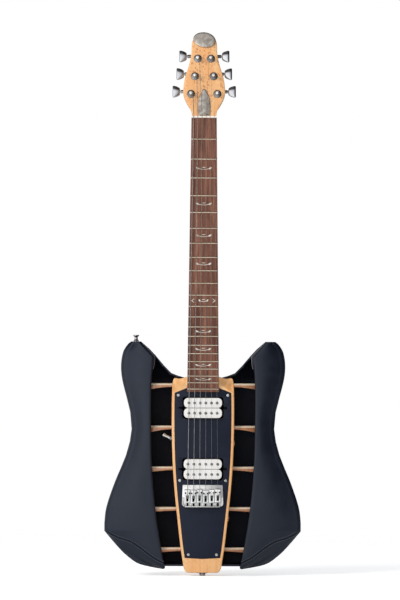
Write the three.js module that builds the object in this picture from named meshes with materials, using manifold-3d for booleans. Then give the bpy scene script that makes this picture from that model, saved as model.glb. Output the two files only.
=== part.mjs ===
// Open-frame semi-hollow electric guitar, standing upright, in millimetres.
// +Z runs up the neck, the strings face -Y, and +X is on the right of someone facing the strings.
// The origin lies on the centreline, where the nut, the fingerboard's end and the glue plane meet.
import * as THREE from 'three';
import { mergeVertices } from 'three/addons/utils/BufferGeometryUtils.js';
import Module from 'manifold-3d';

const wasm = await Module();
wasm.setup();

// Strings, neck and fingerboard
const scale_length = 647.7;
const fret_count = 22;
const string_gauges = [1.17, 0.91, 0.66, 0.43, 0.33, 0.25];
const nut_width = 43.5;
const board_end_width = 54.8;
const board_thickness = 6;
const board_past_last_fret = 5;
const neck_depth_at_nut = 15;
const neck_depth_at_heel = 17.5;
const string_spread_at_nut = 35.5;
const string_spread_at_bridge = 52.3;
const string_height_at_nut = 7.6;
const string_height_at_bridge = 11.8;
const fret_z = (number) => -scale_length * (1 - 2 ** (-number / 12));
const board_end_z = fret_z(fret_count) - board_past_last_fret;
const saddle_z = -scale_length;

// Headstock
const head_tilt = THREE.MathUtils.degToRad(9);
const head_length = 141;
const head_width = 72.2;
const head_thickness = 15;

// Body shells, set by how far the board's end reaches over them
const board_over_body = 86;
const body_top_drop = -board_end_z - board_over_body;
const body_length = 391.5;
const body_width = 338.6;
const shell_wall = 3;
const shell_front = 2;
const shell_slope_drop = 6;
const seam_depth = 19;
const shell_depth = 46;
const front_round = 8;
const back_round = 14;
const tail_gap = 4.5;
const cutaway_length = 62.5;

// Spine: the neck's own beam, carried on through the body
const heel_top_fall = 17;
const shoulder_fall = 58;
const spine_top_fall = 73;
const spine_past_body = 6;
const rear_window_fall = 95;
const spine_width = 107.4;
const spine_corner = 7;
const heel_top_drop = body_top_drop + heel_top_fall;
const shoulder_drop = body_top_drop + shoulder_fall;
const spine_top_drop = body_top_drop + spine_top_fall;
const spine_end_drop = body_top_drop + body_length + spine_past_body;
const rear_window_drop = body_top_drop + rear_window_fall;

// Clearances and cuts
const seat_gap = 0.3;
const join_depth = 1;
const overrun = 5;
const slope_step = 1;

// Shares of an outline's length and half width, from the top down
const head_outline_shares = [
  [0, 0.58], [0.045, 0.605], [0.105, 0.7], [0.167, 0.834], [0.234, 0.953], [0.3, 1], [0.386, 0.978],
  [0.484, 0.911], [0.57, 0.806], [0.667, 0.7], [0.777, 0.62], [0.903, 0.595], [0.97, 0.5], [1, 0.36],
];
const spine_outline_shares = [
  [0, 0.985], [0.12, 1], [0.26, 0.996], [0.42, 0.965], [0.57, 0.9], [0.72, 0.805], [0.87, 0.7], [1, 0.575],
];
const body_side_shares = [
  [0, 0.735], [0.012, 0.768], [0.045, 0.814], [0.105, 0.836], [0.17, 0.822], [0.31, 0.741],
  [0.385, 0.726], [0.486, 0.771], [0.627, 0.902], [0.73, 0.98], [0.8, 1], [0.834, 1],
];
const body_tail_shares = [[0.834, 1], [0.909, 0.85], [0.945, 0.763], [0.98, 0.638], [1, 0.44]];
const wing_diagonal_shares = [[0, 0.652], [0.066, 0.508]];
const wing_edge_shares = [
  [0.066, 0.508], [0.2, 0.5275], [0.39, 0.5275], [0.53, 0.52], [0.67, 0.497], [0.8, 0.461], [0.94, 0.406],
  [1, 0.375],
];
const cutaway_shares = [
  [0.635, 0], [0.55, 0.2], [0.487, 0.38], [0.4, 0.66], [0.325, 0.87], [0.25, 0.95], [0.18, 1],
];

// Colours and finishes
const maple = new THREE.MeshStandardMaterial({ color: 0xe0a86c, roughness: 0.3, metalness: 0 });
const rosewood = new THREE.MeshStandardMaterial({ color: 0x4a3028, roughness: 0.6, metalness: 0 });
const shell_black = new THREE.MeshStandardMaterial({ color: 0x1c1e26, roughness: 0.45, metalness: 0 });
const plate_black = new THREE.MeshStandardMaterial({ color: 0x15171d, roughness: 0.5, metalness: 0 });
const chrome = new THREE.MeshStandardMaterial({ color: 0xc8cbd0, roughness: 0.15, metalness: 1 });
const pewter = new THREE.MeshStandardMaterial({ color: 0x8a857c, roughness: 0.4, metalness: 1 });
const ivory_plastic = new THREE.MeshStandardMaterial({ color: 0xe8e4dc, roughness: 0.4, metalness: 0 });
const steel = new THREE.MeshStandardMaterial({ color: 0x9a9a9a, roughness: 0.35, metalness: 1 });
const wheel_wood = new THREE.MeshStandardMaterial({ color: 0xc99660, roughness: 0.5, metalness: 0 });

const along_x = new THREE.Vector3(1, 0, 0);
const along_y = new THREE.Vector3(0, 1, 0);
const along_z = new THREE.Vector3(0, 0, 1);

const guitar = new THREE.Group();

// A closed geometry becomes a solid that can be cut and joined, and back again.
function solid(geometry) {
  geometry.deleteAttribute('normal');
  geometry.deleteAttribute('uv');
  const merged = mergeVertices(geometry);
  const vertProperties = new Float32Array(merged.attributes.position.array);
  const triangles = [];
  for (let i = 0; i < merged.index.count; i += 3) {
    const [a, b, c] = merged.index.array.slice(i, i + 3);
    if (a !== b && b !== c && c !== a) triangles.push(a, b, c);
  }
  const closed = (triVerts) => new wasm.Manifold(new wasm.Mesh({ numProp: 3, vertProperties, triVerts }));
  const outward = closed(new Uint32Array(triangles));
  return outward.volume() > 0 ? outward : closed(new Uint32Array(triangles.reverse()));
}

function geometry_of(body) {
  const { vertProperties, triVerts } = body.getMesh();
  const geometry = new THREE.BufferGeometry();
  geometry.setAttribute('position', new THREE.BufferAttribute(new Float32Array(vertProperties), 3));
  geometry.setIndex(new THREE.BufferAttribute(new Uint32Array(triVerts), 1));
  geometry.computeVertexNormals();
  return geometry;
}

function joined(bodies) {
  return bodies.reduce((whole, body) => whole.add(body));
}

function cut(body, tools) {
  return tools.reduce((left, tool) => left.subtract(tool), body);
}

function add_piece(name, body, material, parent = guitar) {
  const mesh = new THREE.Mesh(geometry_of(body), material);
  mesh.name = name;
  parent.add(mesh);
}

// A box between two corners.
function block([x0, x1], [y0, y1], [z0, z1]) {
  const geometry = new THREE.BoxGeometry(x1 - x0, y1 - y0, z1 - z0);
  geometry.translate((x0 + x1) / 2, (y0 + y1) / 2, (z0 + z1) / 2);
  return solid(geometry);
}

// A flat outline of [x, z] points, given its thickness from front to back along Y.
function slab(outline, y_front, y_back) {
  const shape = new THREE.Shape(outline.map(([x, z]) => new THREE.Vector2(x, z)));
  const geometry = new THREE.ExtrudeGeometry(shape, { depth: y_back - y_front, bevelEnabled: false });
  geometry.rotateX(Math.PI / 2);
  geometry.translate(0, y_back, 0);
  return solid(geometry);
}

// A turned piece: [radius, distance] pairs round an axis that leaves `at` along `direction`.
function turned(profile, at, direction, sides = 16) {
  const points = [...profile, profile[0]].map(([radius, distance]) => new THREE.Vector2(radius, distance));
  const geometry = new THREE.LatheGeometry(points, sides);
  geometry.applyQuaternion(new THREE.Quaternion().setFromUnitVectors(along_y, direction));
  geometry.translate(at[0], at[1], at[2]);
  return solid(geometry);
}

// A round bar from `at` along `direction`.
function bar(radius, length, at, direction, sides = 16) {
  return turned([[0, 0], [radius, 0], [radius, length], [0, length]], at, direction, sides);
}

// Rings of the same number of points, joined in order and closed by a flat face at each end.
function lofted(rings) {
  const count = rings[0].length;
  const index = [];
  for (let ring = 0; ring + 1 < rings.length; ring += 1) {
    for (let i = 0; i < count; i += 1) {
      const a = ring * count + i;
      const b = ring * count + ((i + 1) % count);
      index.push(a, b, a + count, b, b + count, a + count);
    }
  }
  const last = (rings.length - 1) * count;
  for (const [a, b, c] of end_face(rings[0])) index.push(c, b, a);
  for (const [a, b, c] of end_face(rings.at(-1))) index.push(a + last, b + last, c + last);
  const geometry = new THREE.BufferGeometry();
  geometry.setAttribute('position', new THREE.Float32BufferAttribute(rings.flat(2), 3));
  geometry.setIndex(index);
  return solid(geometry);
}

// The triangles that fill a flat ring, each in the ring's own order.
function end_face(ring) {
  const points = ring.map((point) => new THREE.Vector3(...point));
  const normal = new THREE.Vector3();
  points.forEach((point, i) => normal.add(point.clone().cross(points[(i + 1) % points.length])));
  const lay_flat = new THREE.Quaternion().setFromUnitVectors(normal.normalize(), along_z);
  const laid = points.map((point) => point.applyQuaternion(lay_flat));
  const flat = laid.map(({ x, y }) => new THREE.Vector2(x, y));
  return THREE.ShapeUtils.triangulateShape(flat, []).map((corners) => corners.sort((a, b) => a - b));
}

// A tube along a route, with its rings mitred at each point.
function tube(route, radius, sides = 6) {
  const points = route.map((point) => new THREE.Vector3(...point));
  const steps = points.slice(1).map((point, i) => point.clone().sub(points[i]).normalize());
  const tangents = points.map((_, i) => {
    const before = steps[Math.max(i - 1, 0)];
    const after = steps[Math.min(i, steps.length - 1)];
    return before.clone().add(after).normalize();
  });
  let side = new THREE.Vector3(1, 0, 0).addScaledVector(tangents[0], -tangents[0].x).normalize();
  const rings = points.map((point, i) => {
    side = side.clone().addScaledVector(tangents[i], -side.dot(tangents[i])).normalize();
    const up = tangents[i].clone().cross(side);
    return Array.from({ length: sides }, (_, k) => {
      const angle = (2 * Math.PI * k) / sides;
      const spot = point.clone().addScaledVector(side, radius * Math.cos(angle));
      return spot.addScaledVector(up, radius * Math.sin(angle)).toArray();
    });
  });
  return lofted(rings);
}

// A smooth curve through a table of [place, value] pairs, read at one place.
function curve_at(table, place) {
  const last = table.length - 1;
  const spot = THREE.MathUtils.clamp(place, table[0][0], table[last][0]);
  const i = Math.min(table.findIndex(([next], k) => k > 0 && spot <= next), last) - 1;
  const slope = (k) => {
    const [before, after] = [table[Math.max(k - 1, 0)], table[Math.min(k + 1, last)]];
    return (after[1] - before[1]) / (after[0] - before[0]);
  };
  const [[x0, y0], [x1, y1]] = [table[i], table[i + 1]];
  const width = x1 - x0;
  const t = (spot - x0) / width;
  const rise = y1 - y0;
  return y0 + t * t * (3 - 2 * t) * rise
    + t * (1 - t) * (1 - t) * width * slope(i) - t * t * (1 - t) * width * slope(i + 1);
}

// The same places, evenly spaced between two ends.
function spaced(from, to, steps) {
  return Array.from({ length: steps + 1 }, (_, i) => from + ((to - from) * i) / steps);
}

function mirrored(points) {
  return points.map(([x, z]) => [-x, z]).reverse();
}

// A path of [x, z] points moved sideways, to the right of its own direction.
function shifted(path, distance) {
  return path.map(([x, z], i) => {
    const [x0, z0] = path[Math.max(i - 1, 0)];
    const [x1, z1] = path[Math.min(i + 1, path.length - 1)];
    const length = Math.hypot(x1 - x0, z1 - z0);
    return [x + (distance * (z1 - z0)) / length, z - (distance * (x1 - x0)) / length];
  });
}

// Places along the neck and the strings
const mix = THREE.MathUtils.lerp;
const board_half = (z) => mix(nut_width, board_end_width, z / board_end_z) / 2;
const string_x = (number, z) => mix(string_spread_at_nut, string_spread_at_bridge, -z / scale_length)
  * (number / (string_gauges.length - 1) - 0.5);
const string_y = (z) => -mix(string_height_at_nut, string_height_at_bridge, -z / scale_length);
const heel_depth = shell_depth - shell_wall - seat_gap;

// Headstock: its own frame starts behind the nut and leans back; x and y stay across and through it.
const nut_thickness = 3.6;
const head_blend_length = 18;
const head_half = (z) => (head_width / 2) * curve_at(head_outline_shares, z / head_length);
const head_group = new THREE.Group();
head_group.position.z = nut_thickness;
head_group.rotation.x = -head_tilt;
head_group.updateMatrix();
guitar.add(head_group);
const in_head = (body) => solid(geometry_of(body).applyMatrix4(head_group.matrix));

// Tuners: three on each side, with post rows from the nut up, and the buttons further out
const first_post_up = 38.5;
const post_row_pitch = 31;
const post_out_shares = [0.629, 0.446, 0.316];
const button_reach = 25.4;
const post_radius = 3.1;
const post_waist_radius = 2.4;
const post_height = 15;
const bushing_radius = 4.7;
const bushing_bore_radius = post_radius + seat_gap;
const washer_radius = 7;
const washer_thickness = 1.8;
const tuners = [-1, 1].flatMap((side) => post_out_shares.map((out, rank) => ({
  side,
  x: (side * out * head_width) / 2,
  z: first_post_up + rank * post_row_pitch,
  number: side < 0 ? rank : string_gauges.length - 1 - rank,
})));
const tuner_screw_radius = 1.3;
const tuner_screw_length = 22;
const housing_half_width = 8;
const housing_height = 26;
const housing_depth = 11;
const shaft_radius = 1.6;
const shaft_rise = 8.2;
const shaft_depth_share = 0.6;
const shaft_depth = head_thickness + seat_gap + shaft_depth_share * housing_depth;

// Neck, heel, spine and headstock are one beam of wood.
const truss_rod_radius = 2.8;
const truss_rod_past_body = 43;
const truss_rod_end_drop = body_top_drop + truss_rod_past_body;
const truss_rod_nose = 9;
const truss_channel_room = 1;
const truss_channel_depth = 2 * truss_rod_radius + truss_channel_room;
const shoulder_shares = [[0, 0], [0.14, 0.22], [0.55, 0.5], [0.86, 0.74], [0.97, 0.9]];
const spine_half = (z) => (spine_width / 2)
  * curve_at(spine_outline_shares, (-z - spine_top_drop) / (spine_end_drop - spine_top_drop));

function spine_side(extra, top_drop) {
  const side = spaced(-spine_top_drop, -(spine_end_drop - spine_corner), 9).filter((z) => z < -top_drop);
  const end_half = spine_half(-spine_end_drop);
  const corner = spaced(0, Math.PI / 2, 4).slice(1).map((angle) => [
    end_half - spine_corner * (1 - Math.cos(angle)) + extra,
    -(spine_end_drop - spine_corner) - (spine_corner + extra) * Math.sin(angle),
  ]);
  return [...side.map((z) => [spine_half(z) + extra, z]), ...corner];
}

function spine_outline(extra) {
  const neck_half = board_half(-shoulder_drop);
  const shoulder = shoulder_shares.map(([out, down]) => [
    mix(neck_half, spine_half(-spine_top_drop), out) + extra,
    -mix(shoulder_drop, spine_top_drop, down) + extra,
  ]);
  const right = [...shoulder, ...spine_side(extra, 0)];
  return [...right, ...mirrored(right)];
}

function window_outline(extra) {
  const top = [spine_half(-rear_window_drop) + extra, -rear_window_drop + extra];
  const right = [top, ...spine_side(extra, rear_window_drop)];
  return [...right, ...mirrored(right)];
}

// A section of the neck: flat in front and rounded behind, squarer as its fullness share falls.
function neck_ring(half, depth, fullness_share, place) {
  return spaced(0, Math.PI, 10).map((angle) => place([
    -half * Math.cos(angle),
    depth * Math.max(Math.sin(angle), 0) ** fullness_share,
  ]));
}

function neck_beam() {
  const round_share = 0.9;
  const square_share = 0.12;
  const head_rings = spaced(head_blend_length + overrun, 0, 4).map((z) => {
    const blend = Math.min(z / head_blend_length, 1);
    const depth = mix(neck_depth_at_nut, head_thickness, blend);
    return neck_ring(head_half(z), depth, mix(round_share, square_share, blend), ([x, y]) =>
      new THREE.Vector3(x, y, z).applyMatrix4(head_group.matrix).toArray());
  });
  const straight = [0, -heel_top_drop / 2];
  const heel = spaced(-heel_top_drop, -shoulder_drop, 8);
  const neck_rings = [...straight, ...heel, -shoulder_drop - overrun].map((z) => {
    const swell = THREE.MathUtils.smoothstep(-z, heel_top_drop, shoulder_drop);
    const slim = mix(neck_depth_at_nut, neck_depth_at_heel, -z / heel_top_drop);
    const fullness_share = mix(round_share, square_share, swell);
    return neck_ring(board_half(z), mix(slim, heel_depth, swell), fullness_share, ([x, y]) => [x, y, z]);
  });
  return lofted([...head_rings, ...neck_rings]);
}

function headstock() {
  const right = spaced(0, 1, 14).map((share) => mix(head_blend_length, head_length, share))
    .map((z) => [head_half(z), z]);
  return in_head(slab([...right, ...mirrored(right)], 0, head_thickness));
}

const post_holes = tuners.map(({ x, z }) => in_head(
  bar(bushing_radius + seat_gap, head_thickness + 2 * overrun, [x, -overrun, z], along_y, 8)));
const truss_channel = block([-truss_rod_radius - seat_gap, truss_rod_radius + seat_gap],
  [-overrun, truss_channel_depth], [-truss_rod_end_drop - seat_gap, nut_thickness + head_blend_length]);

// Fingerboard with its pressed-in frets, and the nut
const fret_width = 2.6;
const fret_height = 1.1;
const fret_tang = 0.5;
const fret_crown_shares = [[0.6, 0.42], [1, 0.18], [1, -0.18], [0.6, -0.42]];

function fret(number) {
  const z = fret_z(number);
  const crown = fret_crown_shares.map(([rise, along]) =>
    [-board_thickness - rise * fret_height, z + along * fret_width]);
  const foot = [-1, 1].map((side) => [fret_tang - board_thickness, z + (side * fret_width) / 2]);
  const section = [...crown, ...foot];
  return lofted([-1, 1].map((side) => section.map(([y, along]) => [side * board_half(z), y, along])));
}

function fingerboard() {
  const board = slab([[-board_half(0), 0], [board_half(0), 0], [board_half(board_end_z), board_end_z],
    [-board_half(board_end_z), board_end_z]], -board_thickness, 0);
  return joined([board, ...spaced(1, fret_count, fret_count - 1).map(fret)]);
}

function nut() {
  const rim = 0.8;
  const body = block([-board_half(0), board_half(0)], [-string_height_at_nut - rim, 0], [0, nut_thickness]);
  return cut(body, string_gauges.map((gauge, number) => {
    const half = gauge / 2 + seat_gap;
    const x = string_x(number, 0);
    return block([x - half, x + half], [-string_height_at_nut - overrun, -string_height_at_nut + half],
      [-overrun, nut_thickness + overrun]);
  }));
}

add_piece('fingerboard', fingerboard(), rosewood);
add_piece('nut', nut(), ivory_plastic);
add_piece('truss_rod', bar(truss_rod_radius, truss_rod_end_drop + truss_rod_nose,
  [0, truss_channel_depth - seat_gap - truss_rod_radius, -truss_rod_end_drop], along_z, 12), steel);

// Body shells: two front wings over one open-backed bowl, which meet face to face at the seam
const station_shares = [
  0, 0.012, 0.03, 0.066, 0.105, 0.17, 0.24, 0.31, 0.385, 0.44, 0.5, 0.56, 0.627, 0.69, 0.75, 0.8,
  0.834, 0.856, 0.88, 0.909, 0.928, 0.945, 0.963, 0.98, 0.99, 1,
];
const round_limit_share = 0.45;
const end_round = 5;
const facet_tilt = THREE.MathUtils.degToRad(25);
const facet_crease_shares = [
  { out: 0.375, down: 0.9765, slope: 0 },
  { out: 0.732, down: 0.8787, slope: 0.74 },
];
const facet_length_shares = [-1, 3];
const facet_reach = 60;
const body_half = body_width / 2;
const share_of = (z) => (-body_top_drop - z) / body_length;
const station_z = (share) => -body_top_drop - share * body_length;
const side_half = (z) => body_half
  * curve_at(share_of(z) < body_tail_shares[0][0] ? body_side_shares : body_tail_shares, share_of(z));
const side_slope = (z) => (side_half(z + slope_step) - side_half(z - slope_step)) / (2 * slope_step);
const side_stretch = (z) => Math.hypot(1, side_slope(z));
const inner_edge = (z) => body_half
  * curve_at(share_of(z) < wing_edge_shares[0][0] ? wing_diagonal_shares : wing_edge_shares, share_of(z));
const wall_inside = (z) => side_half(z) - shell_wall * side_stretch(z);
const back_end_z = station_z(1) + tail_gap;
const quarter = (steps) => spaced(0, Math.PI / 2, steps);

function wing_ring(z, outer, inner, front, back) {
  const round = Math.min(front_round * side_stretch(z), round_limit_share * (outer - inner));
  const arc = quarter(4).map((angle) => [
    outer - round * (1 - Math.sin(angle)),
    front + shell_slope_drop + front_round * (1 - Math.cos(angle)),
  ]);
  return [[inner, front], ...arc, [outer, back], [inner, back]].map(([x, y]) => [x, y, z]);
}

// A wedge that slices the wing's lower tip off along a crease, sloping back towards the tail.
function tail_facet(depth) {
  const [start, through] = facet_crease_shares.map(({ out, down, slope }) => new THREE.Vector3(
    out * body_half, shell_front + depth + slope * shell_slope_drop, station_z(down)));
  const along = through.clone().sub(start);
  const crease = facet_length_shares.map((share) => start.clone().addScaledVector(along, share));
  const down = new THREE.Vector3(-along.z, 0, along.x).normalize().multiplyScalar(-facet_reach);
  const sunk = down.clone().setY(facet_reach * Math.tan(facet_tilt));
  const raised = new THREE.Vector3(0, -facet_reach, 0);
  return lofted(crease.map((end) => [end, end.clone().add(sunk), end.clone().add(down).add(raised),
    end.clone().add(raised)].map((point) => point.toArray())));
}

function wing() {
  const outside = lofted(station_shares.map(station_z).map((z) =>
    wing_ring(z, side_half(z), inner_edge(z), shell_front, seam_depth)));
  const room = (z) => wall_inside(z) - inner_edge(z) > 2 * shell_wall;
  const hollow_stations = [-body_top_drop - shell_wall, ...station_shares.map(station_z)
    .filter((z) => z < -body_top_drop - 2 * shell_wall && room(z))];
  const inside = lofted(hollow_stations.map((z) =>
    wing_ring(z, wall_inside(z), inner_edge(z) - overrun, shell_front + shell_wall, seam_depth + overrun)));
  const skin_depth = shell_wall / Math.cos(facet_tilt);
  return cut(outside, [tail_facet(0), cut(inside, [tail_facet(skin_depth)])]);
}

function mirror_image(body) {
  return solid(geometry_of(body).scale(-1, 1, 1));
}

function back_ring(z, wall, front) {
  const from_end = Math.min(-body_top_drop - z, z - back_end_z, end_round);
  const end_drop = end_round - Math.sqrt(end_round ** 2 - (end_round - from_end) ** 2);
  const outer = side_half(z) - wall * side_stretch(z);
  const back = shell_depth - wall - end_drop;
  const round = Math.min(back_round * side_stretch(z), round_limit_share * outer);
  const right = [[outer, front], ...quarter(4).map((angle) => [
    outer - round * (1 - Math.cos(angle)), back - back_round * (1 - Math.sin(angle))])];
  return [...right, ...mirrored(right)].map(([x, y]) => [x, y, z]);
}

function cutaway(extra) {
  const edge = cutaway_shares.map(([out, down]) =>
    [out * body_half, -body_top_drop - down * cutaway_length]);
  const right = shifted(edge, -extra);
  const top = [right[0][0], -body_top_drop + overrun];
  return slab([top, ...right, ...mirrored([top, ...right])], 0, shell_depth + overrun);
}

// Horn strap button
const strap_button_share = 0.684;
const strap_button_out = strap_button_share * body_half;
const strap_button_depth = 27;
const strap_button_height = 11;
const strap_button_radius = 5.3;
const strap_screw_radius = 1.6;
const strap_screw_length = 12;

function back_shell() {
  const shares = [...station_shares, share_of(back_end_z), share_of(back_end_z + end_round / 4),
    share_of(back_end_z + end_round), end_round / 4 / body_length];
  const stations = shares.map(station_z).filter((z) => z >= back_end_z).sort((a, b) => b - a);
  const outside = lofted(stations.map((z) => back_ring(z, 0, seam_depth)));
  const hollow_stations = [-body_top_drop - shell_wall,
    ...stations.filter((z) => z < -body_top_drop - 2 * shell_wall && z > back_end_z + 2 * shell_wall),
    back_end_z + shell_wall];
  const inside = lofted(hollow_stations.map((z) => back_ring(z, shell_wall, seam_depth - overrun)));
  const bowl = cut(outside, [cutaway(0), cut(inside, [cutaway(shell_wall)])]);
  return cut(bowl, [
    slab(spine_outline(seat_gap), 0, heel_depth + seat_gap / 2),
    slab(window_outline(seat_gap), heel_depth, shell_depth + overrun),
    bar(strap_screw_radius + seat_gap, shell_wall + 2 * overrun,
      [-strap_button_out, strap_button_depth, -body_top_drop - shell_wall - overrun], along_z, 8),
  ]);
}

// Ribs: curved wooden bows from the spine to the shell's side walls
const rib_top_shares = [0.1832, 0.3694, 0.5493, 0.7276, 0.9053];
const rib_front = 12;
const rib_tip_front = 23;
const rib_back = 28;
const rib_root_height = 6.4;
const rib_tip_height = 20;
const rib_edge = 1.5;
const rib_end_gap = 0.9;

function rib(top_z) {
  return lofted(spaced(0, 1, 7).map((share) => {
    const bottom_z = top_z - mix(rib_root_height, rib_tip_height, share ** 1.3);
    const front = mix(rib_front, rib_tip_front, share ** 2);
    const place = (z) => mix(spine_half(z) + seat_gap, wall_inside(z) - rib_end_gap, share);
    const ring = [
      [front + rib_edge, top_z], [rib_back, top_z], [rib_back, bottom_z],
      [front + rib_edge, bottom_z], [front, bottom_z + rib_edge], [front, top_z - rib_edge],
    ];
    return ring.map(([y, z]) => [place(z), y, z]);
  }));
}

add_piece('left_wing', mirror_image(wing()), shell_black);
add_piece('right_wing', wing(), shell_black);
add_piece('back_shell', back_shell(), shell_black);
rib_top_shares.forEach((share, number) => {
  const body = rib(station_z(share));
  add_piece(`rib_right_${number + 1}`, body, maple);
  add_piece(`rib_left_${number + 1}`, mirror_image(body), maple);
});

// Front plate, let into the spine, with its screws and the two controls that hang from it
const plate_recess = 3;
const plate_thickness = 2.6;
const plate_inset = 4.8;
const plate_top_fall = 6.5;
const plate_shoulder_fall = 8.5;
const plate_end_margin = 24;
const plate_end_rise = 1.8;
const plate_front = plate_recess - plate_thickness;
const plate_top_drop = spine_top_drop + plate_top_fall;
const plate_shoulder_drop = plate_top_drop + plate_shoulder_fall;
const plate_end_drop = spine_end_drop - plate_end_margin;
const plate_screw_shares = [
  { out: 0.8, down: 0.042 },
  { out: 0.79, down: 0.541 },
  { out: 0.673, down: 0.9745 },
];
const plate_screw_radius = 1.1;
const plate_screw_head_radius = 2.1;
const plate_screw_head_height = 0.6;
const plate_screw_length = 15;
const plate_screws = plate_screw_shares.map(({ out, down }) => {
  const z = -mix(plate_top_drop, plate_end_drop, down);
  return { out: out * spine_half(z), z };
});
const both_sides = [-1, 1];
const bar_through = (radius, x, z, from, to, sides = 10) =>
  bar(radius, to - from, [x, from, z], along_y, sides);

function plate_outline(extra) {
  const notch = board_half(board_end_z) + seat_gap - extra;
  const side = spaced(-plate_shoulder_drop, -plate_end_drop + plate_end_rise, 7)
    .map((z) => [spine_half(z) - plate_inset + extra, z]);
  const [top, end] = [side[0], side.at(-1)];
  const right = [[notch, board_end_z - seat_gap + extra], [notch, -plate_top_drop + extra],
    [top[0], top[1] + extra], ...side.slice(1, -1), [end[0], end[1] - extra], [0, -plate_end_drop - extra]];
  return [...right, ...mirrored(right.slice(0, -1))];
}

// Pickups: two coils of pole screws on a base with an ear at each end
const neck_pickup_fall = 27.8;
const bridge_pickup_rise = 43.7;
const neck_pickup_z = board_end_z - neck_pickup_fall;
const bridge_pickup_z = saddle_z + bridge_pickup_rise;
const pickup_places = [
  { name: 'neck_pickup', centre_z: neck_pickup_z },
  { name: 'bridge_pickup', centre_z: bridge_pickup_z },
];
const coil_length = 66;
const coil_width = 16.8;
const coil_gap = 0.8;
const coil_corner = 7.5;
const coil_front = 7.5;
const coil_back = 7;
const pickup_base_length = 69;
const pickup_base_thickness = 1.5;
const pickup_ear_reach = 41;
const pickup_ear_width = 6;
const pickup_pocket_depth = 20;
const pickup_room = 1;
const pole_radius = 2.1;
const pole_proud = 0.8;
const height_screw_out = 38;
const height_screw_radius = 1.3;
const height_screw_head_radius = 2.3;
const height_screw_length = 28;
const pickup_width = 2 * coil_width + coil_gap;

function rounded_box(half_x, half_z, corner, centre_z, from, to) {
  const turn = [[1, 1, 0], [-1, 1, 1], [-1, -1, 2], [1, -1, 3]];
  const outline = turn.flatMap(([side, up, quarter_turn]) => quarter(3).map((angle) => {
    const bend = angle + (quarter_turn * Math.PI) / 2;
    return [side * (half_x - corner) + corner * Math.cos(bend),
      centre_z + up * (half_z - corner) + corner * Math.sin(bend)];
  }));
  return slab(outline, from, to);
}

function pickup(centre_z) {
  const coils = both_sides.map((side) => {
    const coil_z = centre_z + side * (coil_width + coil_gap) / 2;
    const poles = string_gauges.map((_, number) =>
      bar_through(pole_radius, string_x(number, centre_z), coil_z, -coil_front - pole_proud, 0, 6));
    return joined([rounded_box(coil_length / 2, coil_width / 2, coil_corner, coil_z, -coil_front,
      coil_back + pickup_base_thickness / 2), ...poles]);
  });
  const base_back = coil_back + pickup_base_thickness;
  const base = rounded_box(pickup_base_length / 2, pickup_width / 2 + coil_gap, coil_corner, centre_z,
    coil_back, base_back);
  const ears = block([-pickup_ear_reach, pickup_ear_reach], [coil_back, base_back],
    [centre_z - pickup_ear_width / 2, centre_z + pickup_ear_width / 2]);
  const screws = both_sides.flatMap((side) => {
    const x = side * height_screw_out;
    return [
      bar_through(height_screw_radius, x, centre_z, -pole_proud, height_screw_length, 6),
      bar_through(height_screw_head_radius, x, centre_z, -2 * pole_proud, pole_proud, 8),
    ];
  });
  return joined([base, ears, ...coils, ...screws]);
}

function pickup_opening(centre_z, from, to) {
  const ear_room = pickup_ear_width / 2 + pickup_room;
  return joined([
    rounded_box(pickup_base_length / 2 + pickup_room, pickup_width / 2 + coil_gap + pickup_room,
      coil_corner, centre_z, from, to),
    rounded_box(pickup_ear_reach + pickup_room, ear_room, ear_room / 2, centre_z, from, to),
  ]);
}

// Bridge: a flat plate with a raised lip behind, which the saddles' length screws pass through
const bridge_rise = 16.7;
const bridge_fall = 21.6;
const bridge_top_width = 68.8;
const bridge_end_width = 71.2;
const bridge_corner = 7;
const bridge_thickness = 1.6;
const bridge_lip_thickness = 2;
const bridge_lip_height = 8.4;
const bridge_lip_width = 60;
const bridge_screw_radius = 1.5;
const bridge_screw_head_radius = 2.1;
const bridge_screw_head_height = 0.9;
const bridge_screw_length = 18;
const bridge_screw_fall = 16.8;
const length_screw_radius = 1.25;
const length_screw_head_radius = 2.2;
const length_screw_head = 1.8;
const length_screw_reach = 8.8;
const length_screw_front = 6;
const string_hole_fall = 6.6;
const string_hole_radius = 1.6;
const bridge_top_z = saddle_z + bridge_rise;
const bridge_end_z = saddle_z - bridge_fall;
const bridge_screw_z = saddle_z - bridge_screw_fall;
const string_hole_z = saddle_z - string_hole_fall;
const bridge_front = plate_front - bridge_thickness;
const string_holes = (radius, from, to) => string_gauges.map((_, number) =>
  bar_through(radius, string_x(number, saddle_z), string_hole_z, from, to, 6));
const between_strings = (number) => (string_x(number, saddle_z) + string_x(number + 1, saddle_z)) / 2;
const bridge_screw_places = [0, 2, 4].map(between_strings);

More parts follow.
